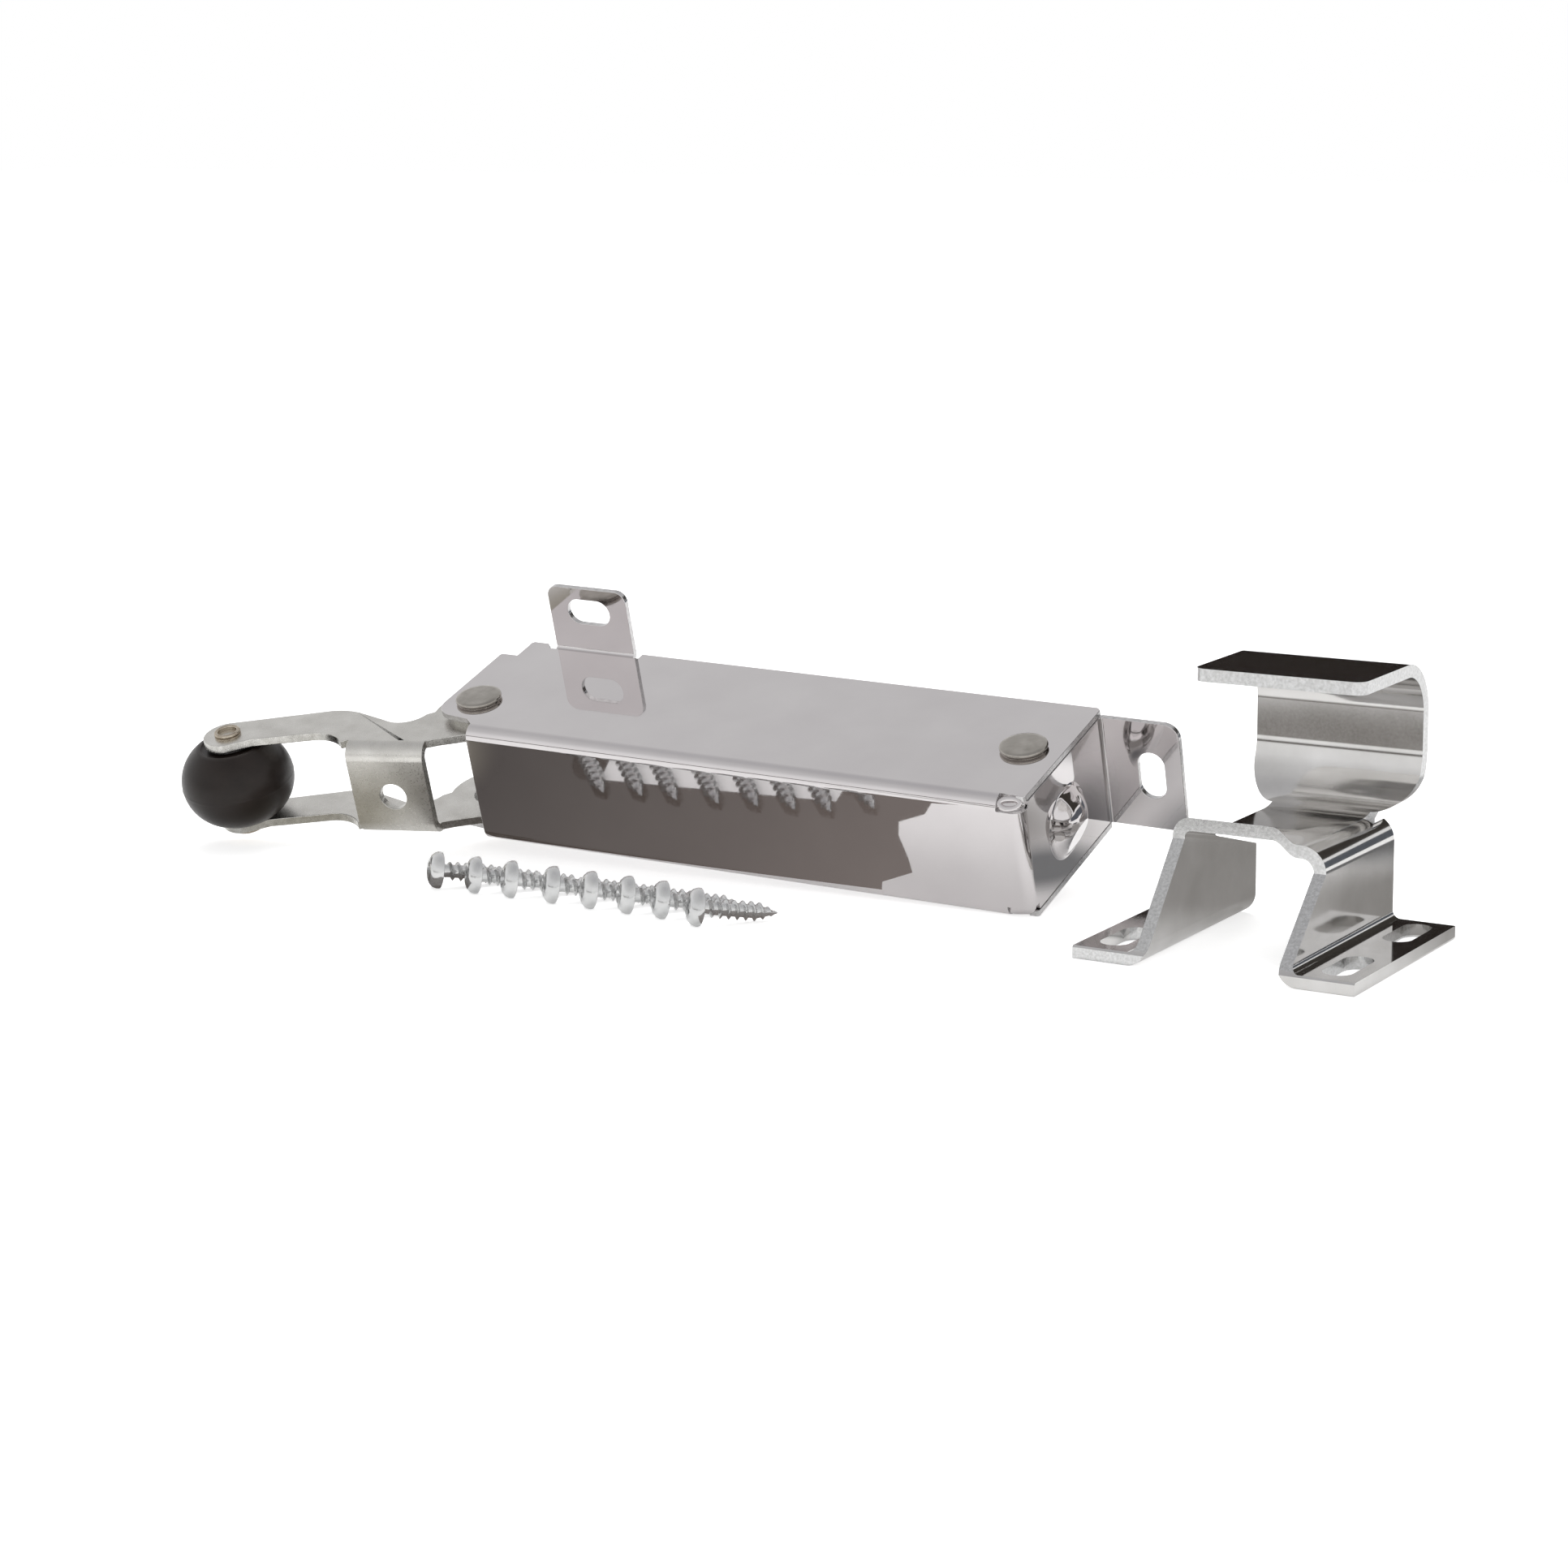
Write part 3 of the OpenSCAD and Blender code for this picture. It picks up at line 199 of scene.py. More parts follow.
def done(piece, name, body, material, replaced, edge, sharp=28):
    """Last touches: merged points, rounded edges, smooth curves, its body and its material."""
    clean = bmesh.new()
    clean.from_mesh(piece.data)
    bmesh.ops.remove_doubles(clean, verts=clean.verts, dist=MERGE)
    bmesh.ops.dissolve_limit(
        clean, angle_limit=math.radians(FLAT_DEGREES), verts=clean.verts, edges=clean.edges
    )
    bmesh.ops.recalc_face_normals(clean, faces=clean.faces)
    clean.to_mesh(piece.data)
    clean.free()
    piece.data.transform(Matrix.Scale(MM, 4))
    piece.name = name
    piece.data.name = name
    piece.data.polygons.foreach_set("use_smooth", [True] * len(piece.data.polygons))
    piece.data.set_sharp_from_angle(angle=math.radians(sharp))
    if edge:
        bevel = piece.modifiers.new("edges", "BEVEL")
        bevel.width = edge * MM
        bevel.segments = 3
        bevel.limit_method = "ANGLE"
        bevel.angle_limit = math.radians(sharp)
        bevel.harden_normals = True
        bevel.miter_outer = "MITER_ARC"
    even = piece.modifiers.new("normals", "WEIGHTED_NORMAL")
    even.weight = 100
    even.keep_sharp = True
    parts = piece.modifiers.new("triangles", "TRIANGULATE")
    parts.ngon_method = "BEAUTY"
    parts.min_vertices = 5
    parts.keep_custom_normals = True
    piece.data.materials.clear()
    piece.data.materials.append(material)
    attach(piece, body)
    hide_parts(*replaced)
    return piece


# A cut face is at most so many sheets wide and has more than so many sheets of metal behind it
CUT_WIDTH = 1.15
CUT_DEPTH = 1.5

# The look behind a face starts this far inside it
STEP_IN = 0.02


def cut_faces(piece, material, thick):
    """Gives the faces that lie across a sheet, where it was cut, a material of their own."""
    mesh = piece.data
    mesh.calc_loop_triangles()
    tree = BVHTree.FromPolygons([v.co for v in mesh.vertices], [p.vertices for p in mesh.polygons])
    largest = {}
    for tri in mesh.loop_triangles:
        known = largest.get(tri.polygon_index)
        if tri.area > (known.area if known else 0):
            largest[tri.polygon_index] = tri
    mesh.materials.append(material)
    for index, tri in largest.items():
        face = mesh.polygons[index]
        ring = [mesh.vertices[i].co for i in face.vertices]
        around = sum((a - b).length for a, b in zip(ring, ring[1:] + ring[:1]))
        if 2 * face.area / around > CUT_WIDTH * thick * MM:
            continue
        middle = sum((mesh.vertices[i].co for i in tri.vertices), Vector()) / 3
        inward = -face.normal
        hit = tree.ray_cast(middle + inward * STEP_IN * MM, inward)
        if hit[0] is not None and hit[3] > CUT_DEPTH * thick * MM:
            face.material_index = 1
    return piece


# Materials
def new_material(name):
    material = bpy.data.materials.new(name)
    material.use_nodes = True
    tree = material.node_tree
    tree.nodes.clear()
    out = tree.nodes.new("ShaderNodeOutputMaterial")
    return material, tree, out


def node(tree, kind, **values):
    made = tree.nodes.new(kind)
    for key, value in values.items():
        if hasattr(made, key):
            setattr(made, key, value)
        else:
            made.inputs[key].default_value = value
    return made


def noise(tree, place, size, detail, stretch=(1, 1, 1)):
    """Noise whose grains are about size metres wide, stretched along the axes given."""
    spread = node(tree, "ShaderNodeMapping", Scale=[s / size for s in stretch])
    tree.links.new(place, spread.inputs["Vector"])
    made = node(tree, "ShaderNodeTexNoise", Scale=1.0, Detail=detail)
    tree.links.new(spread.outputs["Vector"], made.inputs["Vector"])
    return made.outputs["Fac"]


def spread_to(tree, value, low, high, start, end):
    made = node(tree, "ShaderNodeMapRange")
    made.inputs["From Min"].default_value = start
    made.inputs["From Max"].default_value = end
    made.inputs["To Min"].default_value = low
    made.inputs["To Max"].default_value = high
    tree.links.new(value, made.inputs["Value"])
    return made.outputs["Result"]


def tint(tree, value, low, high, start=0.3, end=0.7):
    made = node(tree, "ShaderNodeValToRGB")
    made.color_ramp.elements[0].position = start
    made.color_ramp.elements[0].color = (*low, 1)
    made.color_ramp.elements[1].position = end
    made.color_ramp.elements[1].color = (*high, 1)
    tree.links.new(value, made.inputs["Fac"])
    return made.outputs["Color"]


def grained(name, dark, light, rough, grain, bump, cloud, stretch, details, ends, **surface):
    """Colour clouds between two tones, and a fine grain in roughness and height."""
    material, tree, out = new_material(name)
    where = node(tree, "ShaderNodeTexCoord").outputs["Object"]
    shader = node(tree, "ShaderNodeBsdfPrincipled", **surface)
    clouds = noise(tree, where, cloud, details[0])
    fine = noise(tree, where, grain, details[1], stretch)
    tree.links.new(tint(tree, clouds, dark, light), shader.inputs["Base Color"])
    tree.links.new(spread_to(tree, fine, *rough, *ends), shader.inputs["Roughness"])
    height = node(tree, "ShaderNodeBump", Strength=bump[0], Distance=bump[1])
    tree.links.new(fine, height.inputs["Height"])
    tree.links.new(height.outputs["Normal"], shader.inputs["Normal"])
    tree.links.new(shader.outputs["BSDF"], out.inputs["Surface"])
    return material


def metal(name, dark, light, rough, grain, bump, cloud, stretch=(1, 1, 1), metallic=1.0):
    """Plated or bare metal."""
    details, ends = (4, 5), (0.35, 0.65)
    return grained(
        name, dark, light, rough, grain, bump, cloud, stretch, details, ends, Metallic=metallic
    )


def moulded(name, dark, light, rough, grain, bump, gloss=0.5):
    """Plastic or rubber."""
    cloud, stretch, details, ends = 0.006, (1, 1, 1), (5, 4), (0.3, 0.7)
    surface = {"Specular IOR Level": gloss}
    return grained(name, dark, light, rough, grain, bump, cloud, stretch, details, ends, **surface)


zinc_sheet = metal(
    "zinc_sheet", (0.645, 0.618, 0.62), (0.69, 0.664, 0.664), (0.03, 0.06), 0.0009,
    (0.02, 0.00002), 0.02,
)
zinc_edge = metal(
    "zinc_edge", (0.5, 0.49, 0.49), (0.68, 0.67, 0.67), (0.16, 0.28), 0.0004, (0.2, 0.00002), 0.0012
)
zinc_arm = metal(
    "zinc_arm", (0.6, 0.585, 0.55), (0.73, 0.715, 0.68), (0.26, 0.36), 0.0005, (0.25, 0.00004), 0.006
)
arm_edge = metal(
    "arm_edge", (0.5, 0.49, 0.46), (0.7, 0.69, 0.66), (0.24, 0.36), 0.0004, (0.25, 0.00003), 0.0015
)
chrome = metal(
    "chrome", (0.6, 0.59, 0.575), (0.7, 0.69, 0.68), (0.085, 0.1), 0.0006, (0.04, 0.00001), 0.012
)
chrome_edge = metal(
    "chrome_edge", (0.52, 0.52, 0.515), (0.7, 0.7, 0.7), (0.12, 0.2), 0.0003, (0.2, 0.00002), 0.0006
)
nickel = metal(
    "nickel", (0.32, 0.3, 0.27), (0.43, 0.405, 0.37), (0.12, 0.22), 0.0003, (0.2, 0.00002), 0.003,
    (1, 5, 1),
)
worn_steel = metal(
    "worn_steel", (0.4, 0.34, 0.27), (0.58, 0.52, 0.43), (0.2, 0.38), 0.0004, (0.3, 0.00004), 0.0015
)
zinc_screw = metal(
    "zinc_screw", (0.58, 0.585, 0.585), (0.7, 0.7, 0.695), (0.14, 0.2), 0.0005, (0.05, 0.00001),
    0.004, metallic=0.8,
)
spring_steel = metal(
    "spring_steel", (0.1, 0.1, 0.11), (0.2, 0.2, 0.22), (0.24, 0.4), 0.0003, (0.2, 0.00002), 0.004
)
ground_steel = metal(
    "ground_steel", (0.42, 0.42, 0.42), (0.55, 0.55, 0.55), (0.16, 0.3), 0.0002, (0.2, 0.00002),
    0.004, (1, 8, 8),
)
bush_metal = metal(
    "bush_metal", (0.36, 0.35, 0.33), (0.5, 0.49, 0.46), (0.22, 0.36), 0.0003, (0.2, 0.00002), 0.003
)
roller_black = moulded(
    "roller_black", (0.012, 0.008, 0.0065), (0.02, 0.014, 0.0115), (0.28, 0.4), 0.0005,
    (0.12, 0.00003), 0.3,
)
nylon = moulded("nylon", (0.55, 0.53, 0.46), (0.68, 0.66, 0.6), (0.4, 0.5), 0.0005, (0.1, 0.00002))


# Housing: one channel of bent sheet, with rolled long edges, a lug, an end plate and three tabs.
# Shapes that only cut or mask are drawn past the sheet on their outer sides, here and further on.
BODY_LEN, BODY_DEPTH, BODY_H, SHEET = 154, 47.5, 32.5, 1.5
ROLL_R, ROLL_END = 3.3, 147.4
CORNER_R, CORNER_REAR = 3, 4
LUG_REACH, LUG_R, LUG_REAR = 13.4, 6.3, 39.5
PLATE_REAR = 45.2
TAB_W, TAB_TOP, TAB_BEND, TAB_CORNER = 23.4, 50.5, 0.8, 3
END_LOW, END_HIGH, END_REACH, END_CORNER = 1.75, 30.75, 174.2, 4
SLOT_W, SLOT_LEN, SLOT_Z, END_SLOT_X = 7, 12.6, 43.8, 166.2


def half(side):
    """The upper half of the closer as it is, or the lower half as its mirror image."""
    if side == 1:
        return Matrix.Identity(4)
    return move(0, 0, BODY_H) @ Matrix.Scale(-1, 4, (0, 0, 1))


def tab_slot(at):
    return prism(stadium((SLOT_LEN - SLOT_W) / 2, SLOT_W / 2), 40, 50, at @ ALONG_Y)


def housing():
    low, high, inner, rear = ROLL_R, BODY_H - ROLL_R, ROLL_R - SHEET, 48
    channel = prism(
        [(rear, 0)] + arc(ROLL_R, low, ROLL_R, 270, 180) + arc(ROLL_R, high, ROLL_R, 180, 90)
        + [(rear, BODY_H), (rear, BODY_H - SHEET)] + arc(ROLL_R, high, inner, 90, 180)
        + arc(ROLL_R, low, inner, 180, 270) + [(rear, SHEET)],
        -14, 155, ALONG_X,
    )
    outline = prism(
        [(0, -1), (ROLL_END, -1), (ROLL_END, ROLL_R), (151.6, ROLL_R), (151.6, 2.8), (153.4, 2.8)]
        + [(BODY_LEN, ROLL_R), (BODY_LEN, 46.5), (153, BODY_DEPTH), (25, BODY_DEPTH)]
        + [(25, PLATE_REAR), (-1.9, PLATE_REAR), (-1.9, 45.8), (-3.6, BODY_DEPTH)]
        + [(-7.8, BODY_DEPTH), (-8.4, 46.9), (-8.4, LUG_REAR), (0.6 - LUG_REACH, LUG_REAR)]
        + [(-LUG_REACH, 38.9)] + arc(LUG_R - LUG_REACH, 12.2, LUG_R, 180, 270)
        + [(-2.4, 5.3), (0, ROLL_R)],
        -1, 34, Matrix.Identity(4),
    )
    common(channel, outline)
    corner_x, face_x, middle_x = BODY_LEN - CORNER_R, BODY_LEN - SHEET, BODY_LEN - SHEET / 2
    corner = prism(
        [(ROLL_END - 0.2, 0)] + arc(corner_x, CORNER_R, CORNER_R, -90, 0)
        + [(BODY_LEN, CORNER_REAR), (middle_x, CORNER_REAR + 0.6), (face_x, CORNER_REAR)]
        + arc(corner_x, CORNER_R, CORNER_R - SHEET, 0, -90) + [(ROLL_END - 0.2, SHEET)],
        low, high, Matrix.Identity(4),
    )
    bend_x, bend_outer = BODY_LEN + TAB_BEND, TAB_BEND + SHEET
    end = prism(
        [(face_x, CORNER_REAR), (BODY_LEN, CORNER_REAR)]
        + arc(bend_x, PLATE_REAR, TAB_BEND, 180, 90, 8)
        + [(END_REACH, BODY_DEPTH - SHEET), (END_REACH, BODY_DEPTH)]
        + arc(bend_x, PLATE_REAR, bend_outer, 90, 180, 12),
        END_LOW, END_HIGH, Matrix.Identity(4),
    )

    # The point below END_LOW and the two at 152 are spare, but the seams of the end plate hang on them
    end_face = prism(
        [(150, -1), (150, END_LOW), (152, END_LOW)]
        + arc(END_REACH - END_CORNER, END_LOW + END_CORNER, END_CORNER, -90, 0)
        + arc(END_REACH - END_CORNER, END_HIGH - END_CORNER, END_CORNER, 0, 90)
        + [(152, END_HIGH), (150, END_HIGH)],
        3, 49, ALONG_Y,
    )
    common(end, end_face)
    cut(end, tab_slot(move(END_SLOT_X, 0, MID_Z) @ turn("Y", 90)))
    union(channel, corner, end)
    bend_z = BODY_H + TAB_BEND
    for side in (1, -1):
        tab = prism(
            [(PLATE_REAR - 0.7, BODY_H - SHEET / 2)]
            + arc(PLATE_REAR, bend_z, bend_outer, -90, 0, 12)
            + [(BODY_DEPTH, TAB_TOP), (BODY_DEPTH - SHEET, TAB_TOP)]
            + arc(PLATE_REAR, bend_z, TAB_BEND, 0, -90, 8),
            0, TAB_W, half(side) @ ALONG_X,
        )
        tab_face = prism(
            [(-1, 30), (TAB_W + 1, 30), (TAB_W + 1, 33), (TAB_W, 33)]
            + arc(TAB_W - TAB_CORNER, TAB_TOP - TAB_CORNER, TAB_CORNER, 0, 90)
            + arc(TAB_CORNER, TAB_TOP - TAB_CORNER, TAB_CORNER, 90, 180) + [(0, 33), (-1, 33)],
            40, 50, half(side) @ ALONG_Y,
        )
        common(tab, tab_face)
        cut(tab, tab_slot(half(side) @ move(TAB_W / 2, 0, SLOT_Z)))
        union(channel, tab)
    channel.data.transform(CLOSER)
    return channel


# Pressed boss on the end plate: a dome with two flattened sides that meet it in ridges
def boss():
    at = CLOSER @ move(BODY_LEN - 0.4, 22.7, MID_Z - 1.2)
    half_len, r = 1.25, 7.6

    # How far in from the rim, and how high
    side = [(-1.5, 0), (-1.2, 0.42), (-0.7, 0.6), (-0.2, 0.9), (0.3, 1.32), (0.9, 1.85), (1.6, 2.42)]
    side += [(2.4, 2.97), (3.3, 3.47), (4.3, 3.89), (5.4, 4.2), (6.5, 4.36), (7.55, 4.4)]
    rings = [[(x, y, rise) for x, y in stadium(half_len, r - inset, 24)] for inset, rise in side]
    dome = loft(rings, at @ ALONG_X)

    # Sections of what is taken off the lower and the front side
    below = [(-0.2, 4.45), (-6.6, 1.7), (-12, 0.9), (-12, 9), (-0.2, 9)]
    ahead = [(-4.9, 4.3), (-8.6, 1.2), (-14, 0.9), (-14, 9), (-4.9, 9)]
    cut(dome, prism(below, -15, 15, at @ ALONG_Y_FROM_ZX))
    cut(dome, prism(ahead, -15, 15, at @ ALONG_Z_FROM_YX))
    return dome


# Pressed lips that close the roll where it ends at the corners: oval beads with a dimple
def corner_lip(side):
    # Half width, half height and level of each ring
    rows = [(3.5, 2.5, -1.5), (3.3, 2.2, -0.5), (2.95, 1.75, 0.15), (2.6, 1.4, 0.42)]
    rows += [(2.25, 1.05, 0.42), (1.95, 0.72, 0.2), (1.75, 0.5, -0.2), (1.6, 0.36, -0.6)]
    sag = 0.12
    rings = []
    for wide, high, z in rows:
        rings.append([(wide * x, high * y + sag * x * x, z) for x, y in ROUND])
    at = CLOSER @ half(side) @ move(150.3, 1.75, BODY_H - 1.75) @ turn("Z", 16) @ turn("X", 46)
    return loft(rings, at)


sheet = done(housing(), "housing_sheet", "housing", zinc_sheet, ["housing"], 0.16)
cut_faces(sheet, zinc_edge, SHEET)
done(boss(), "end_boss", "housing", zinc_sheet, ["housing"], 0.3)
done(corner_lip(1), "corner_lip_upper", "housing", zinc_sheet, ["housing"], 0, 60)
done(corner_lip(-1), "corner_lip_lower", "housing", zinc_sheet, ["housing"], 0, 60)


# Arm: two plates and their web
ARM_SHEET, ARM_LOW, ARM_TOP = 2.2, 3.3, 29.2
ARM_LEN, ARM_HALF_W, HUB_R, TAIL_R = 66.8, 6.4, 12.6, 6.2
WEB_AT, WEB_TURN, WEB_W, WEB_R = (12.5, 13.6), -12.6, 21.2, 4.2
WEB_HOLE_R, WEB_HOLE_AT, WEB_HOLE_DROP = 3.6, 10, 1.2


def arm():
    tail = polar(CRANK_LEN, CRANK_DIR - ARM_ANGLE + 360)
    web_step = polar(WEB_W, WEB_TURN)
    web_end = (WEB_AT[0] + web_step[0], WEB_AT[1] + web_step[1])

    # From the roller's end along the rear side to the tail, and back along the front side
    outline = (
        arc(ARM_LEN, 0, ARM_HALF_W, -90, 90, 32) + [(60, 4)] + arc(44, 12.9, 9.2, 270, 200, 20)
        + [web_end, WEB_AT, (9.7, 13)] + arc(0, 0, HUB_R, 76, 120, 12)
        + arc(tail[0], tail[1], TAIL_R, 112, 255, 24) + arc(0, 0, HUB_R, 240, 350, 28)
        + arc(20.3, -4.4, 6.5, 150, 45, 20) + arc(41, 6.9, 15, 232, 270, 16)
    )
    low = prism(outline, ARM_LOW, ARM_LOW + ARM_SHEET, ARM)
    high = prism(outline, ARM_TOP - ARM_SHEET, ARM_TOP, ARM)

    # The web's bends end in wedges inside the plates
    inner, tip = WEB_R - ARM_SHEET, 0.8
    place = ARM @ move(WEB_AT[0], WEB_AT[1], 0)
    web = prism(
        [(-tip, ARM_LOW + tip)] + arc(0, ARM_LOW + WEB_R, WEB_R, -90, 0)
        + arc(0, ARM_TOP - WEB_R, WEB_R, 0, 90) + [(-tip, ARM_TOP - tip)]
        + [(-tip, ARM_TOP - ARM_SHEET + tip)] + arc(0, ARM_TOP - WEB_R, inner, 90, 0)
        + arc(0, ARM_LOW + WEB_R, inner, 0, -90) + [(-tip, ARM_LOW + ARM_SHEET - tip)],
        0, WEB_W, place @ turn("Z", 90 + WEB_TURN) @ turn("X", 90),
    )
    hole_place = place @ move(0, 0, MID_Z - WEB_HOLE_DROP) @ turn("Z", WEB_TURN)
    hole = prism(stadium(0.01, WEB_HOLE_R, 24), 0, 8, hole_place @ move(WEB_HOLE_AT, 0, 0) @ ALONG_Y)
    union(low, web, high)
    cut(low, hole)
    return low


sheet = done(arm(), "arm_sheet", "arm", zinc_arm, ["arm"], 0.3)
cut_faces(sheet, arm_edge, ARM_SHEET)


# Strike: one sheet with two feet, two legs, a strap, a platform and a hook
STRIKE_W, STRIKE_DEPTH, S_SHEET = 68, 58.3, 3
LEG_TOP, LEG_LEFT, LEG_RIGHT = 21.2, -52.7, -15.3
FOOT_BEND, SHOULDER_R = 2, 6
FOOT_FRONT = [(0, -1), (0, 2.6), (1, 3.4)]
FOOT_SLOT_R, FOOT_SLOT_HALF, FOOT_SLOT_INSET, FOOT_SLOTS_Y = 3.5, 5.5, 7, (13.2, 46.8)
PLATFORM_H, PLATFORM_FRONT, PLATFORM_REAR, PLATFORM_RIGHT = 27.2, 19.4, 51.8, -21.1
STRAP_DEPTH, STRAP_RISE, STRAP_R, STRAP_RAMP = 14.2, 3.4, 4.4, 6
STRAP_TILT = math.degrees(math.atan2(STRAP_RISE, STRAP_DEPTH))
NECK_LEFT, NECK_RIGHT, NECK_R, NECK_Z = -44.6, -20.2, 8.5, 36.5
HOOK_LEFT, HOOK_RIGHT, HOOK_WALL, HOOK_R = -53.1, -11.7, 65.2, 14.5
LIP_Z, LIP_R, LIP_FRONT, LIP_CORNER = 59.8, 9.5, 29.7, 3


def strap_z(y):
    return PLATFORM_H + STRAP_RISE - (y - PLATFORM_FRONT) * STRAP_RISE / STRAP_DEPTH


def strap_bend_z(y):
    return strap_z(y) - STRAP_R / math.cos(math.radians(STRAP_TILT))


def right_leg():
    foot_x, shoulder_x, foot_outer = LEG_RIGHT + FOOT_BEND, LEG_RIGHT - SHOULDER_R, FOOT_BEND + S_SHEET
    leg = prism(
        [(0, 0), (0, S_SHEET), (foot_x, S_SHEET)] + arc(foot_x, foot_outer, FOOT_BEND, -90, -180)
        + arc(shoulder_x, LEG_TOP, SHOULDER_R, 0, 90, 24)
        + arc(shoulder_x, LEG_TOP, SHOULDER_R - S_SHEET, 90, 0, 24)
        + arc(foot_x, foot_outer, foot_outer, 180, 270),
        0, STRIKE_DEPTH, STRIKE @ ALONG_Y,
    )

    # The first point is spare, but without it the strike's edges lose their rounding
    side = prism(
        [(-1, -1)] + FOOT_FRONT + [(PLATFORM_FRONT, LEG_TOP), (PLATFORM_FRONT, 60)]
        + [(STRIKE_DEPTH, 60), (STRIKE_DEPTH, -1)],
        -STRIKE_W - 1, 1, STRIKE @ ALONG_X,
    )
    common(leg, side)
    notch_w = 2.2
    return cut(leg, box(NECK_RIGHT, NECK_RIGHT + notch_w, PLATFORM_REAR, 60, LEG_TOP, 60, STRIKE))


def left_leg():
    foot_x, foot_outer = LEG_LEFT - FOOT_BEND, FOOT_BEND + S_SHEET
    leg = prism(
        [(-STRIKE_W, 0)] + arc(foot_x, foot_outer, foot_outer, -90, 0)
        + [(LEG_LEFT + S_SHEET, 40), (LEG_LEFT, 40)]
        + arc(foot_x, foot_outer, FOOT_BEND, 0, -90) + [(-STRIKE_W, S_SHEET)],
        0, STRIKE_DEPTH, STRIKE @ ALONG_Y,
    )
    front_z, rear_z = strap_bend_z(PLATFORM_FRONT) - 0.5, strap_bend_z(STRIKE_DEPTH) - 0.5
    side = prism(
        FOOT_FRONT + [(PLATFORM_FRONT, front_z), (STRIKE_DEPTH, rear_z), (STRIKE_DEPTH, -1)],
        -STRIKE_W - 1, 1, STRIKE @ ALONG_X,
    )
    return common(leg, side)


# Bend between the left leg and the strap, which runs out towards the rear
def strap_bend():
    inner = STRAP_R - S_SHEET
    bend = prism(
        [(-STRAP_R, -STRAP_R - 1)] + arc(0, -STRAP_R, STRAP_R, 180, 90, 24)
        + [(0.4, 0), (0.4, -S_SHEET)] + arc(0, -STRAP_R, inner, 90, 180, 24)
        + [(-inner, -STRAP_R - 1)],
        -8, 58, STRIKE @ move(LEG_LEFT + STRAP_R, PLATFORM_FRONT, strap_z(PLATFORM_FRONT))
        @ turn("X", -STRAP_TILT) @ ALONG_Y,
    )
    full, fall, fall_h, rest_h, steps = 7, 12, 5, 0.9, 12
    run = [(PLATFORM_FRONT + full, 36)]
    for k in range(steps + 1):
        t = k / steps
        y = PLATFORM_FRONT + full + fall * t
        run.append((y, strap_bend_z(y) + rest_h + fall_h * (1 - t) ** 2.6))
    rear_z = strap_bend_z(STRIKE_DEPTH)
    side = prism(
        [(PLATFORM_FRONT, strap_bend_z(PLATFORM_FRONT) - 1), (PLATFORM_FRONT, 36)] + run
        + [(STRIKE_DEPTH, rear_z + 0.2), (STRIKE_DEPTH, rear_z - 1)],
        LEG_LEFT - 1, LEG_LEFT + STRAP_R + 0.3, STRIKE @ ALONG_X,
    )
    return common(bend, side)


# Strap at the platform's front, raised at the left and coming down to the right leg's shoulder
def strap():
    front, rear = PLATFORM_FRONT, PLATFORM_FRONT + STRAP_DEPTH
    top, low = PLATFORM_H, PLATFORM_H - S_SHEET
    ramp_at, steps = LEG_RIGHT - 13, 24
    ramp = [ramp_at + STRAP_RAMP * i / steps for i in range(steps + 1)]
    rings = []
    for x in [LEG_LEFT + STRAP_R - 0.2] + ramp + [PLATFORM_RIGHT]:
        t = min(1, max(0, (x - ramp_at) / STRAP_RAMP))
        up = STRAP_RISE * (1 + math.cos(math.pi * t)) / 2
        rings.append([(x, front, top + up), (x, rear, top), (x, rear, low), (x, front, low + up)])
    return loft(rings, STRIKE)


def hook():
    start = PLATFORM_FRONT + STRAP_DEPTH
    low_y, low_z = HOOK_WALL - HOOK_R, PLATFORM_H + HOOK_R
    lip_y, lip_z = HOOK_WALL - LIP_R, LIP_Z - LIP_R
    curve = prism(
        [(start, PLATFORM_H - S_SHEET)] + arc(low_y, low_z, HOOK_R + S_SHEET, -90, 0, 40)
        + arc(lip_y, lip_z, LIP_R + S_SHEET, 0, 90, 32) + [(LIP_FRONT, LIP_Z + S_SHEET)]
        + [(LIP_FRONT, LIP_Z)] + arc(lip_y, lip_z, LIP_R, 90, 0, 32)
        + arc(low_y, low_z, HOOK_R, 0, -90, 40) + [(start, PLATFORM_H)],
        -60, -5, STRIKE @ ALONG_X,
    )
    front_mask = prism(
        [(NECK_LEFT, 20), (NECK_RIGHT, 20)] + arc(NECK_RIGHT, NECK_Z, NECK_R, -90, 0, 24)
        + [(HOOK_RIGHT, 70), (HOOK_LEFT, 70)] + arc(NECK_LEFT, NECK_Z, NECK_R, 180, 270, 24),
        0, 90, STRIKE @ ALONG_Y,
    )
    corner_y = LIP_FRONT + LIP_CORNER
    plan_mask = prism(
        arc(HOOK_RIGHT - LIP_CORNER, corner_y, LIP_CORNER, -90, 0) + [(HOOK_RIGHT, 90), (HOOK_LEFT, 90)]
        + arc(HOOK_LEFT + LIP_CORNER, corner_y, LIP_CORNER, 180, 270),
        0, 80, STRIKE,
    )
    return common(curve, front_mask, plan_mask)


def strike():
    right, left = right_leg(), left_leg()
    for leg, x in ((right, -FOOT_SLOT_INSET), (left, FOOT_SLOT_INSET - STRIKE_W)):
        for y in FOOT_SLOTS_Y:
            slot = stadium(FOOT_SLOT_HALF, FOOT_SLOT_R)
            cut(leg, prism(slot, -1, 5, STRIKE @ move(x, y, 0) @ turn("Z", 90)))
    platform = box(
        NECK_LEFT, PLATFORM_RIGHT, PLATFORM_FRONT + STRAP_DEPTH - 0.05, PLATFORM_REAR,
        PLATFORM_H - S_SHEET, PLATFORM_H, STRIKE,
    )
    return union(hook(), platform, strap(), right, strap_bend(), left)


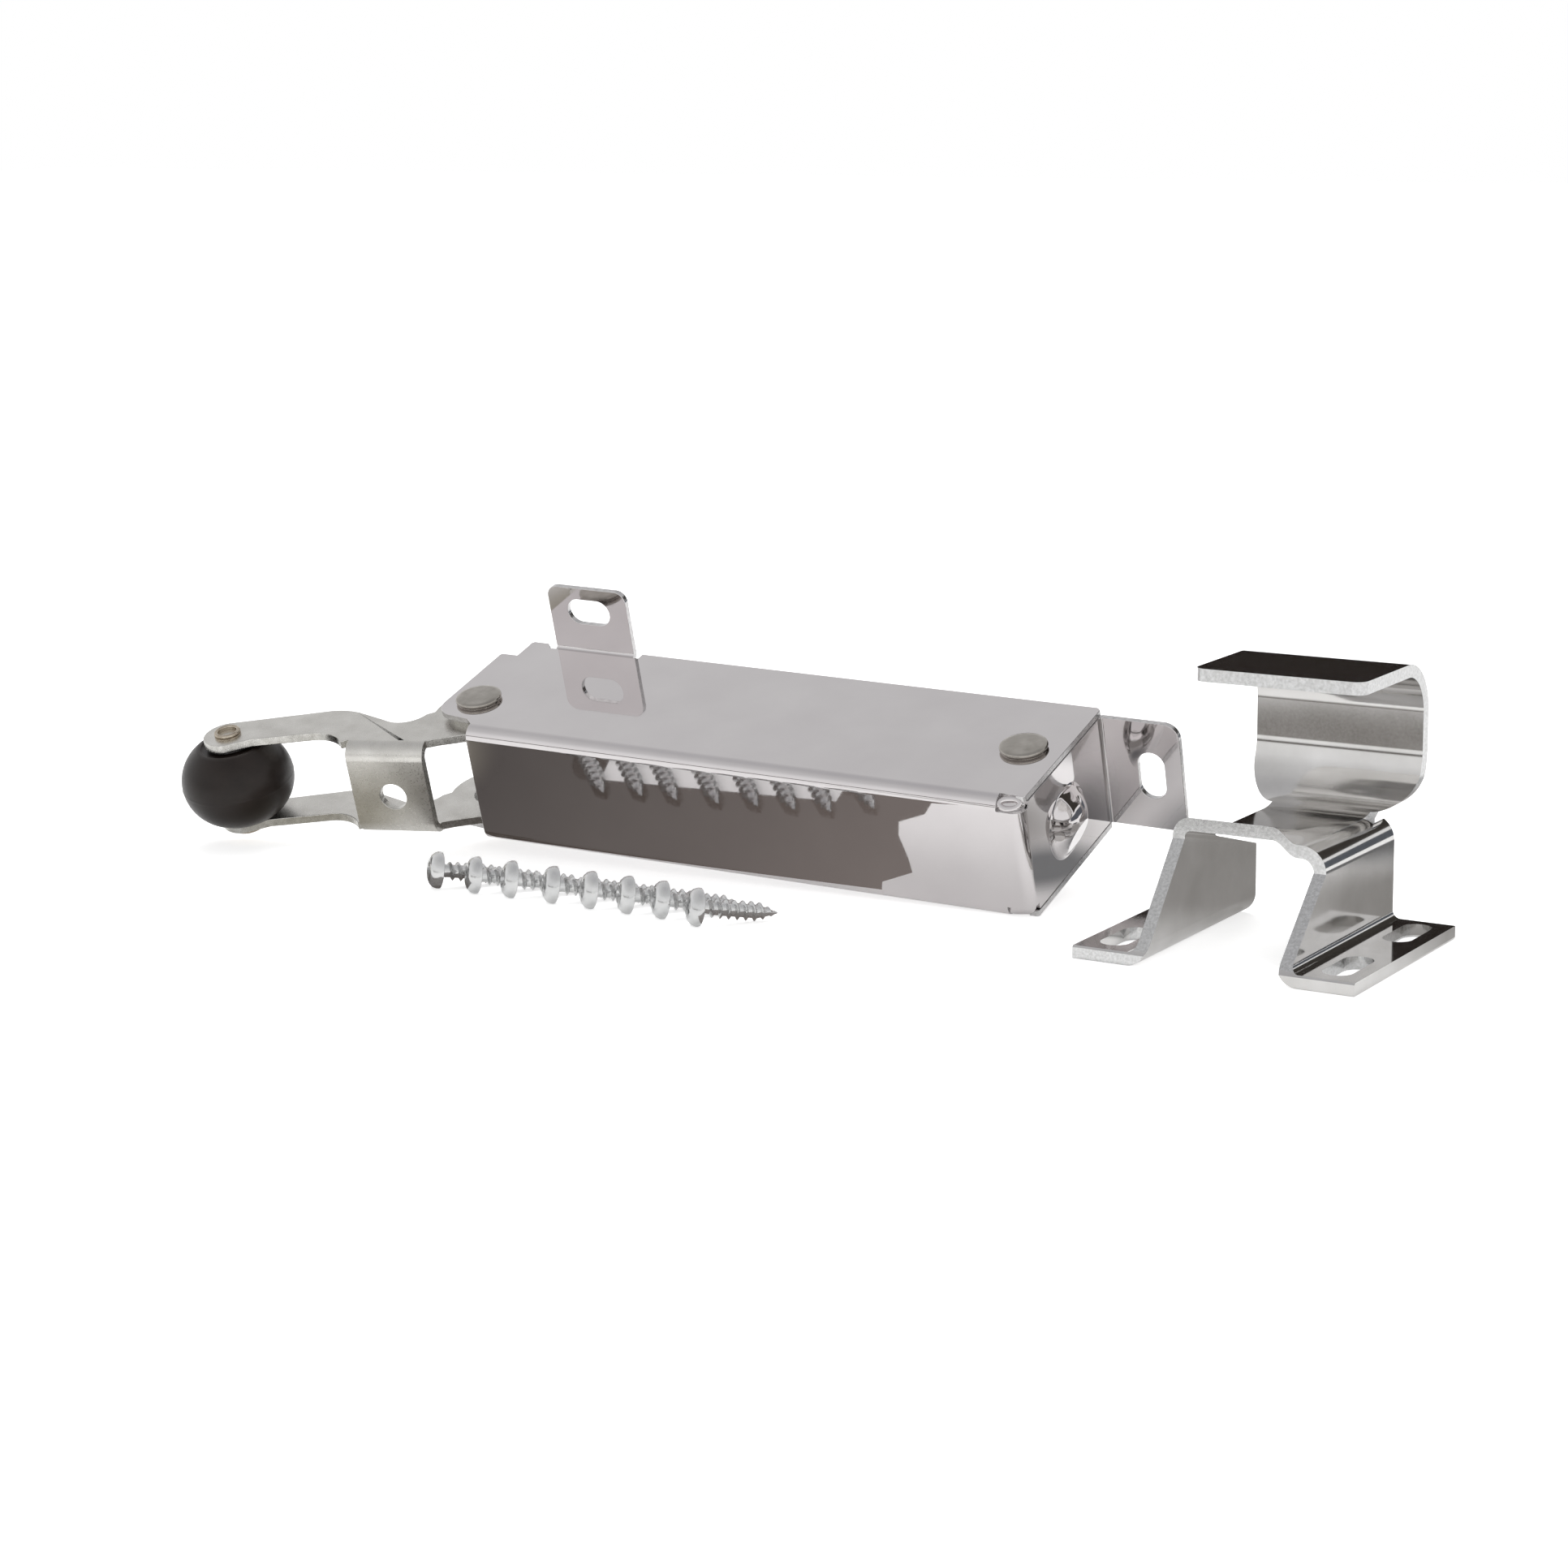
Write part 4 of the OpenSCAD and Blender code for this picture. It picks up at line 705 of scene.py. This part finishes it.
sheet = done(strike(), "strike_sheet", "strike", chrome, ["strike"], 0.4)
cut_faces(sheet, chrome_edge, S_SHEET)


# Rivets with two flat heads
def rivet(place, name):
    head, r, shank = 1.3, 5.9, 3.175

    # Radius and height over the plate
    side = [(shank, 0), (r - 0.55, 0), (r - 0.5, 0.22), (r - 0.08, 0.5), (r, 0.7), (r, head - 0.35)]
    side += [(r - 0.1, head - 0.12), (r - 0.3, head), (r - 1.2, head + 0.1), (0.6, head + 0.16)]
    profile = [(0, -head - 0.1)] + [(x, -h) for x, h in reversed(side)]
    profile += [(x, BODY_H + h) for x, h in side] + [(0, BODY_H + head + 0.1)]
    made = lathe(profile, CLOSER @ move(place[0], place[1], 0))
    return done(made, name + "_piece", "housing", nickel, [name], 0.08, 40)


rivet(PIVOT, "arm_rivet")
rivet(ANCHOR, "anchor_rivet")


# Tubular rivet of the roller, with a flared rim above and a flat head below
AXLE = ARM @ move(ARM_LEN, 0, 0)


def eyelet():
    low, top = ARM_LOW - 1.4, ARM_TOP + 1.2
    profile = [(0, low - 0.05), (3.4, low - 0.05), (4.2, low + 0.08), (4.6, low + 0.4), (4.6, ARM_LOW)]
    profile += [(2.8, ARM_LOW), (2.8, ARM_TOP), (3.4, ARM_TOP), (3.4, ARM_TOP + 0.2)]
    profile += arc(2.86, top - 0.52, 0.54, -60, 200, 24)
    profile += [(2.3, top - 1.1), (2.12, top - 2), (2.0, top - 4), (0, top - 4.2)]
    return lathe(profile, AXLE)


done(eyelet(), "roller_rivet_piece", "arm", worn_steel, ["roller_rivet"], 0, 40)


# Roller: a barrel with a moulding seam around it, a bore and a groove in each end
def roller():
    half_h, widest, end_r, bore = 10.15, 14.55, 8.5, 3.99
    seam_h, seam_w, edge_degrees, steps = 0.07, 0.16, 1.5, 144
    sink = widest - end_r
    side_r = (half_h * half_h + sink * sink) / (2 * sink)
    reach = math.degrees(math.asin(half_h / side_r)) - edge_degrees
    side = arc(widest - side_r, 0, side_r, -reach, reach, 72)
    seam = [(r + seam_h * math.exp(-((z / seam_w) ** 2)), z) for r, z in side]
    groove = [(5.2, 0), (5.2, 0.35), (5.5, 0.5), (7.3, 0.5), (7.6, 0.35), (7.7, 0)]
    lower = [(bore, -half_h)] + [(r, deep - half_h) for r, deep in groove]
    lower += [(end_r - 0.35, -half_h), (end_r - 0.05, 0.12 - half_h)]
    upper = [(r, -z) for r, z in reversed(lower)]
    rings = [circle(r, z, steps) for r, z in lower + seam + upper]
    verts = [p for ring in rings for p in ring]
    faces = []
    for k in range(len(rings)):
        a, b = k * steps, ((k + 1) % len(rings)) * steps
        for i in range(steps):
            j = (i + 1) % steps
            faces.append((a + i, a + j, b + j, b + i))
    return solid(verts, faces, AXLE @ move(0, 0, MID_Z))


done(roller(), "roller_piece", "roller", roller_black, ["roller"], 0, 50)


# Spring: a smooth coil with its end curls closed
def spring():
    wire_r, coil_r, curls, least_gap = 1.1, 7.4, 22, 0.5
    front_seat, both_seats = 11.5, 24.5
    closed = 2 * wire_r + least_gap
    pitch = (LINK_LEN - both_seats - 2 * wire_r - 2 * closed) / curls
    per_turn, sides = 32, 14
    rings = []
    for i in range(per_turn * (curls + 2) + 1):
        t = i / per_turn
        x = wire_r + min(t, 1) * closed + max(0, min(t - 1, curls)) * pitch
        x += max(0, t - 1 - curls) * closed
        a = 2 * math.pi * t
        ring = []
        for s in range(sides):
            b = 2 * math.pi * s / sides
            out = coil_r + wire_r * math.cos(b)
            ring.append((x + wire_r * math.sin(b), out * math.cos(a), out * math.sin(a)))
        rings.append(ring)
    return loft(rings, LINK @ move(front_seat, 0, 0))


done(spring(), "spring_piece", "tube", spring_steel, ["spring"], 0, 40)


# Screws: pan heads with a cross recess, helical thread and point
def screw():
    core, crest, pitch, length, tip, neck = 1.6, 2.4, 2.1, 19, 5, 1.0
    run_in, ridge_w, blunt, head_top = 1.2, 0.26, 0.04, -3.1
    head = [(1.6, head_top), (2.7, -2.94), (3.6, -2.5), (4.25, -1.8), (4.55, -1.0), (4.6, -0.5)]
    head += [(4.55, -0.1), (4.4, 0), (1.9, 0), (core, 0.3), (core, neck)]
    steps, rows = 40, 150
    rings = [circle(r, z, steps) for r, z in head]
    for k in range(1, rows):
        z = neck + (length - neck) * k / rows
        shrink = min(1, (length - z) / tip)
        slim = blunt + (1 - blunt) * shrink ** 0.85
        fade = min(1, (z - neck) / run_in)
        ring = []
        for i in range(steps):
            phase = (z / pitch - i / steps) % 1
            ridge = max(0, 1 - abs(phase - 0.5) / ridge_w) ** 0.8
            r = (core + (crest - core) * ridge * fade) * slim
            a = 2 * math.pi * i / steps
            ring.append((r * math.cos(a), r * math.sin(a), z))
        rings.append(ring)
    made = spindle(head_top, rings, length, Matrix.Identity(4))

    # The cross recess is cut by four tapered wings
    for quarter in (0, 90):
        for side in (1, -1):
            outer, floor = side * 2.9, side * 0.9
            above = [(0, -0.6, -4), (outer, -0.5, -4), (outer, 0.5, -4), (0, 0.6, -4)]
            deep = [(0, -0.5, -1.5), (floor, -0.35, -1.5), (floor, 0.35, -1.5), (0, 0.5, -1.5)]
            cut(made, loft([above, deep], turn("Z", quarter)))
    return made


# Places of the eight screws in their row, each a little off, and the way each one is turned
SCREW_STEP, SCREW_X, SCREW_Y, SCREW_Z = 10.95, -141.6, -42.9, 4.548
SCREW_ANGLE, SCREW_DIP = 48, 8.63
SWAY_X = [0, 0.4, -0.2, 1, 1.2, 0.8, -0.2, 0]
SWAY_Y = [0, 0.2, 0.8, 1, 1, 1.2, 1.1, -1]
SPIN = [12, 40, 75, 20, 55, 5, 63, 33]


def screws():
    one = screw()
    many = bmesh.new()
    for i in range(8):
        place = TABLE @ move(SWAY_X[i] + i * SCREW_STEP + SCREW_X, SWAY_Y[i] + SCREW_Y, SCREW_Z)
        place = place @ turn("Z", SCREW_ANGLE) @ turn("Y", SCREW_DIP) @ turn("Y", 90)
        copy = one.data.copy()
        copy.transform(place @ turn("Z", SPIN[i]))
        many.from_mesh(copy)
        bpy.data.meshes.remove(copy)
    many.to_mesh(one.data)
    many.free()
    return one


done(screws(), "screws_piece", "screws", zinc_screw, ["screws"], 0, 38)


# Materials of the CAD nodes that stay
STAYING = {
    "arm_sleeve": ground_steel,
    "anchor_sleeve": ground_steel,
    "anchor_spacer_upper": nylon,
    "anchor_spacer_lower": nylon,
    "arm_bush_upper": bush_metal,
    "arm_bush_lower": bush_metal,
    "crank_pin": nickel,
    "crank_spacer_upper": nylon,
    "crank_spacer_lower": nylon,
    "roller_washer_upper": ground_steel,
    "roller_washer_lower": ground_steel,
    "roller_sleeve": ground_steel,
    "guide_rod": ground_steel,
    "front_spring_seat": zinc_screw,
    "rear_spring_seat": zinc_screw,
    "guide_tube": zinc_arm,
}
for name, material in STAYING.items():
    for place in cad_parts[name].material_slots:
        place.material = material


# Camera, as fitted to the photograph
lens = bpy.data.cameras.new("camera")
lens.lens = 81.416
lens.sensor_width = 36
lens.clip_start = 0.01
camera = bpy.data.objects.new("camera", lens)
scene.collection.objects.link(camera)
camera.matrix_world = Matrix(
    (
        (0.84860, -0.098202, 0.51984, 0.450028),
        (0.52889, 0.180128, -0.82935, -0.715124),
        (-0.012194, 0.978729, 0.20480, 0.202300),
        (0, 0, 0, 1),
    )
)
scene.camera = camera
scene.view_settings.view_transform = "Standard"


# Surroundings: plain light for the object, a pale backdrop for eye and metal
def seen_directly(tree):
    path = node(tree, "ShaderNodeLightPath")
    first = node(tree, "ShaderNodeMath", operation="MAXIMUM")
    tree.links.new(path.outputs["Is Camera Ray"], first.inputs[0])
    tree.links.new(path.outputs["Is Transmission Ray"], first.inputs[1])
    return path.outputs["Is Glossy Ray"], first.outputs["Value"]


def mixed(tree, share, first, second):
    """Mixes two shaders; share is a number or an output, and 1 gives the second."""
    made = node(tree, "ShaderNodeMixShader")
    if isinstance(share, float):
        made.inputs[0].default_value = share
    else:
        tree.links.new(share, made.inputs[0])
    tree.links.new(first.outputs[0], made.inputs[1])
    tree.links.new(second.outputs[0], made.inputs[2])
    return made


world = bpy.data.worlds.new("studio")
scene.world = world
world.use_nodes = True
tree = world.node_tree
tree.nodes.clear()
out = node(tree, "ShaderNodeOutputWorld")
plain = node(tree, "ShaderNodeBackground", Color=(1, 1, 1, 1), Strength=0.5)
white = node(tree, "ShaderNodeBackground", Color=(1, 1, 1, 1), Strength=1.0)
room = node(tree, "ShaderNodeBackground", Strength=1.0)
where = node(tree, "ShaderNodeTexCoord").outputs["Generated"]
split = node(tree, "ShaderNodeSeparateXYZ")
tree.links.new(where, split.inputs["Vector"])
ramp = node(tree, "ShaderNodeValToRGB")
ramp.color_ramp.elements[0].position = 0.0
ramp.color_ramp.elements[0].color = (1, 1, 1, 1)
ramp.color_ramp.elements[1].position = 1.0
ramp.color_ramp.elements[1].color = (0.5, 0.5, 0.52, 1)
for position, level in ((0.35, 0.96), (0.62, 0.74), (0.8, 0.66)):
    added = ramp.color_ramp.elements.new(position)
    added.color = (level, level, level * 1.01, 1)
tree.links.new(split.outputs["Z"], ramp.inputs["Fac"])
tree.links.new(ramp.outputs["Color"], room.inputs["Color"])
mirrored, direct = seen_directly(tree)
indirect = mixed(tree, mirrored, plain, room)
shown = mixed(tree, direct, indirect, white)
tree.links.new(shown.outputs["Shader"], out.inputs["Surface"])


def plane(name, corners, material):
    mesh = bpy.data.meshes.new(name)
    mesh.from_pydata(corners, [], [tuple(range(len(corners)))])
    mesh.materials.append(material)
    made = bpy.data.objects.new(name, mesh)
    scene.collection.objects.link(made)
    return made


# Floor: bright for the eye, half as bright in the metal, and matte for the light on the object
floor_white, tree, out = new_material("floor_white")
matte = node(tree, "ShaderNodeBsdfDiffuse", Color=(0.86, 0.86, 0.86, 1))
glow = node(tree, "ShaderNodeEmission", Color=(1, 1, 1, 1), Strength=0.62)
both = node(tree, "ShaderNodeAddShader")
tree.links.new(matte.outputs["BSDF"], both.inputs[0])
tree.links.new(glow.outputs["Emission"], both.inputs[1])
mirrored, direct = seen_directly(tree)
part = node(tree, "ShaderNodeMath", operation="MULTIPLY")
part.inputs[1].default_value = 0.45
tree.links.new(mirrored, part.inputs[0])
most = node(tree, "ShaderNodeMath", operation="MAXIMUM")
tree.links.new(direct, most.inputs[0])
tree.links.new(part.outputs["Value"], most.inputs[1])
shown = mixed(tree, most.outputs["Value"], matte, both)
tree.links.new(shown.outputs["Shader"], out.inputs["Surface"])
plane("floor", [(-4, -4, 0), (4, -4, 0), (4, 4, 0), (-4, 4, 0)], floor_white)


def lamp(name, place, target, size, power):
    data = bpy.data.lights.new(name, "AREA")
    data.shape = "RECTANGLE"
    data.size, data.size_y = size
    data.energy = power
    made = bpy.data.objects.new(name, data)
    scene.collection.objects.link(made)
    made.location = place
    toward = Vector(target) - Vector(place)
    made.rotation_euler = toward.to_track_quat("-Z", "Y").to_euler()
    made.visible_glossy = False
    return made


lamp("light_above", (-0.3, 0.5, 1.2), (0, 0, 0), (1.2, 1.0), 11)
lamp("light_front", (0.9, -0.8, 0.8), (0, 0, 0.02), (0.8, 0.8), 4)


# Cards beside and on the table, which only the metal shows
def card(name, corners, material):
    made = plane(name, corners, material)
    made.visible_camera = False
    made.visible_diffuse = False
    made.visible_shadow = False
    made.visible_transmission = False
    made.visible_volume_scatter = False
    return made


def tone_of(tree, color):
    return node(tree, "ShaderNodeEmission", Color=(*color, 1), Strength=1.0)


def dull(name, color):
    material, tree, out = new_material(name)
    tree.links.new(tone_of(tree, color).outputs["Emission"], out.inputs["Surface"])
    return material


def soft(name, color, middle, size, inner):
    """A tone that fades out from its middle; inner is the share that stays full."""
    material, tree, out = new_material(name)
    where = node(tree, "ShaderNodeTexCoord").outputs["Object"]
    shift = node(tree, "ShaderNodeVectorMath", operation="SUBTRACT")
    shift.inputs[1].default_value = middle
    scale = node(tree, "ShaderNodeVectorMath", operation="DIVIDE")
    scale.inputs[1].default_value = size
    away = node(tree, "ShaderNodeVectorMath", operation="LENGTH")
    tree.links.new(where, shift.inputs[0])
    tree.links.new(shift.outputs["Vector"], scale.inputs[0])
    tree.links.new(scale.outputs["Vector"], away.inputs[0])
    fade = node(tree, "ShaderNodeMapRange", interpolation_type="SMOOTHSTEP")
    fade.inputs["From Min"].default_value = inner
    fade.inputs["From Max"].default_value = 1.0
    fade.inputs["To Min"].default_value = 1.0
    fade.inputs["To Max"].default_value = 0.0
    tree.links.new(away.outputs["Value"], fade.inputs["Value"])
    clear = node(tree, "ShaderNodeBsdfTransparent")
    shown = mixed(tree, fade.outputs["Result"], clear, tone_of(tree, color))
    tree.links.new(shown.outputs["Shader"], out.inputs["Surface"])
    return material


def ellipse(middle, size):
    return [(middle[0] + size[0] * x, middle[1] + size[1] * y, middle[2]) for x, y in ROUND]


card(
    "card_behind",
    [(-0.38, 0.62, 0.11), (0.03, 0.62, 0.11), (0.03, 0.62, 0.245), (-0.38, 0.62, 0.245)],
    dull("near_black", (0.017, 0.0125, 0.0105)),
)
card(
    "card_room",
    [(-1.5, -0.9, 0.0), (0.1, -1.3, 0.0), (0.1, -1.3, 0.08), (-1.5, -0.9, 0.08)],
    dull("room_dark", (0.15, 0.14, 0.13)),
)
card(
    "card_right",
    [(0.2, 0.75, 0.0), (1.3, 0.5, 0.0), (1.3, 0.5, 0.16), (0.2, 0.75, 0.16)],
    dull("slate", (0.12, 0.13, 0.15)),
)
card(
    "card_high",
    [(0.02, 0.5, 0.16), (0.6, 0.45, 0.16), (0.6, 0.45, 0.5), (0.02, 0.5, 0.5)],
    dull("dark_high", (0.05, 0.045, 0.04)),
)

# Soft grey ellipses on the table, which only the metal shows; the first two are painted shade, of the
# strike behind it and of the end tab under it: name, material, middle, half sizes, colour, share that
# stays full
for name, tone, middle, size, color, inner in (
    ("card_painted_shade_strike", "painted_shade_strike", (0.138, 0.065, 0.0004), (0.07, 0.082, 1), (0.35, 0.34, 0.33), 0.4),
    ("card_painted_shade_tab", "painted_shade_tab", (0.085, 0.045, 0.0007), (0.019, 0.036, 1), (0.22, 0.225, 0.23), 0.3),
    ("card_back", "tone_back", (0.132, 0.2, 0.0007), (0.04, 0.055, 1), (0.26, 0.265, 0.27), 0.3),
    ("card_arm", "tone_arm", (-0.122, -0.034, 0.0007), (0.028, 0.024, 1), (0.38, 0.36, 0.31), 0.3),
    ("card_far", "grey_far", (0.2, 0.115, 0.0006), (0.045, 0.045, 1), (0.17, 0.17, 0.175), 0.4),
    ("card_ahead", "grey_ahead", (0.04, -0.172, 0.0004), (0.12, 0.075, 1), (0.25, 0.235, 0.22), 0.2),
):
    card(name, ellipse(middle, size), soft(tone, color, middle, size, inner))

# Painted shadow of the closer on the table, which the front face mirrors: a dark tone, lighter to the
# right, slightly glossy
painted_table_shadow, tree, out = new_material("painted_table_shadow")
tone = node(tree, "ShaderNodeEmission", Strength=1.0)
where = node(tree, "ShaderNodeTexCoord").outputs["Object"]
split = node(tree, "ShaderNodeSeparateXYZ")
tree.links.new(where, split.inputs["Vector"])
along = spread_to(tree, split.outputs["X"], 0, 1, -0.11, 0.03)
# The emitted dark tone is the painted shadow, lighter to the right
color = tint(tree, along, (0.042, 0.032, 0.026), (0.2, 0.168, 0.152), 0.0, 1.0)
tree.links.new(color, tone.inputs["Color"])
shine = node(tree, "ShaderNodeBsdfGlossy", Color=(1, 1, 1, 1), Roughness=0.03)
shown = mixed(tree, 0.1, tone, shine)
tree.links.new(shown.outputs["Shader"], out.inputs["Surface"])
PAINTED_SHADOW_OUTLINE = [(-0.113, -0.052), (-0.064, -0.052), (-0.0625, -0.0338), (0.006, -0.0319), (0.008, -0.052)]
PAINTED_SHADOW_OUTLINE += [(0.034, -0.052), (0.0311, -0.0297), (0.0252, -0.0267), (0.0268, -0.0223)]
PAINTED_SHADOW_OUTLINE += [(0.0322, -0.015), (0.0348, -0.0107), (0.0281, -0.0071), (0.0291, -0.0041)]
PAINTED_SHADOW_OUTLINE += [(-0.0845, -0.004)]
card("card_painted_shadow", [(x, y, 0.0005) for x, y in PAINTED_SHADOW_OUTLINE], painted_table_shadow)


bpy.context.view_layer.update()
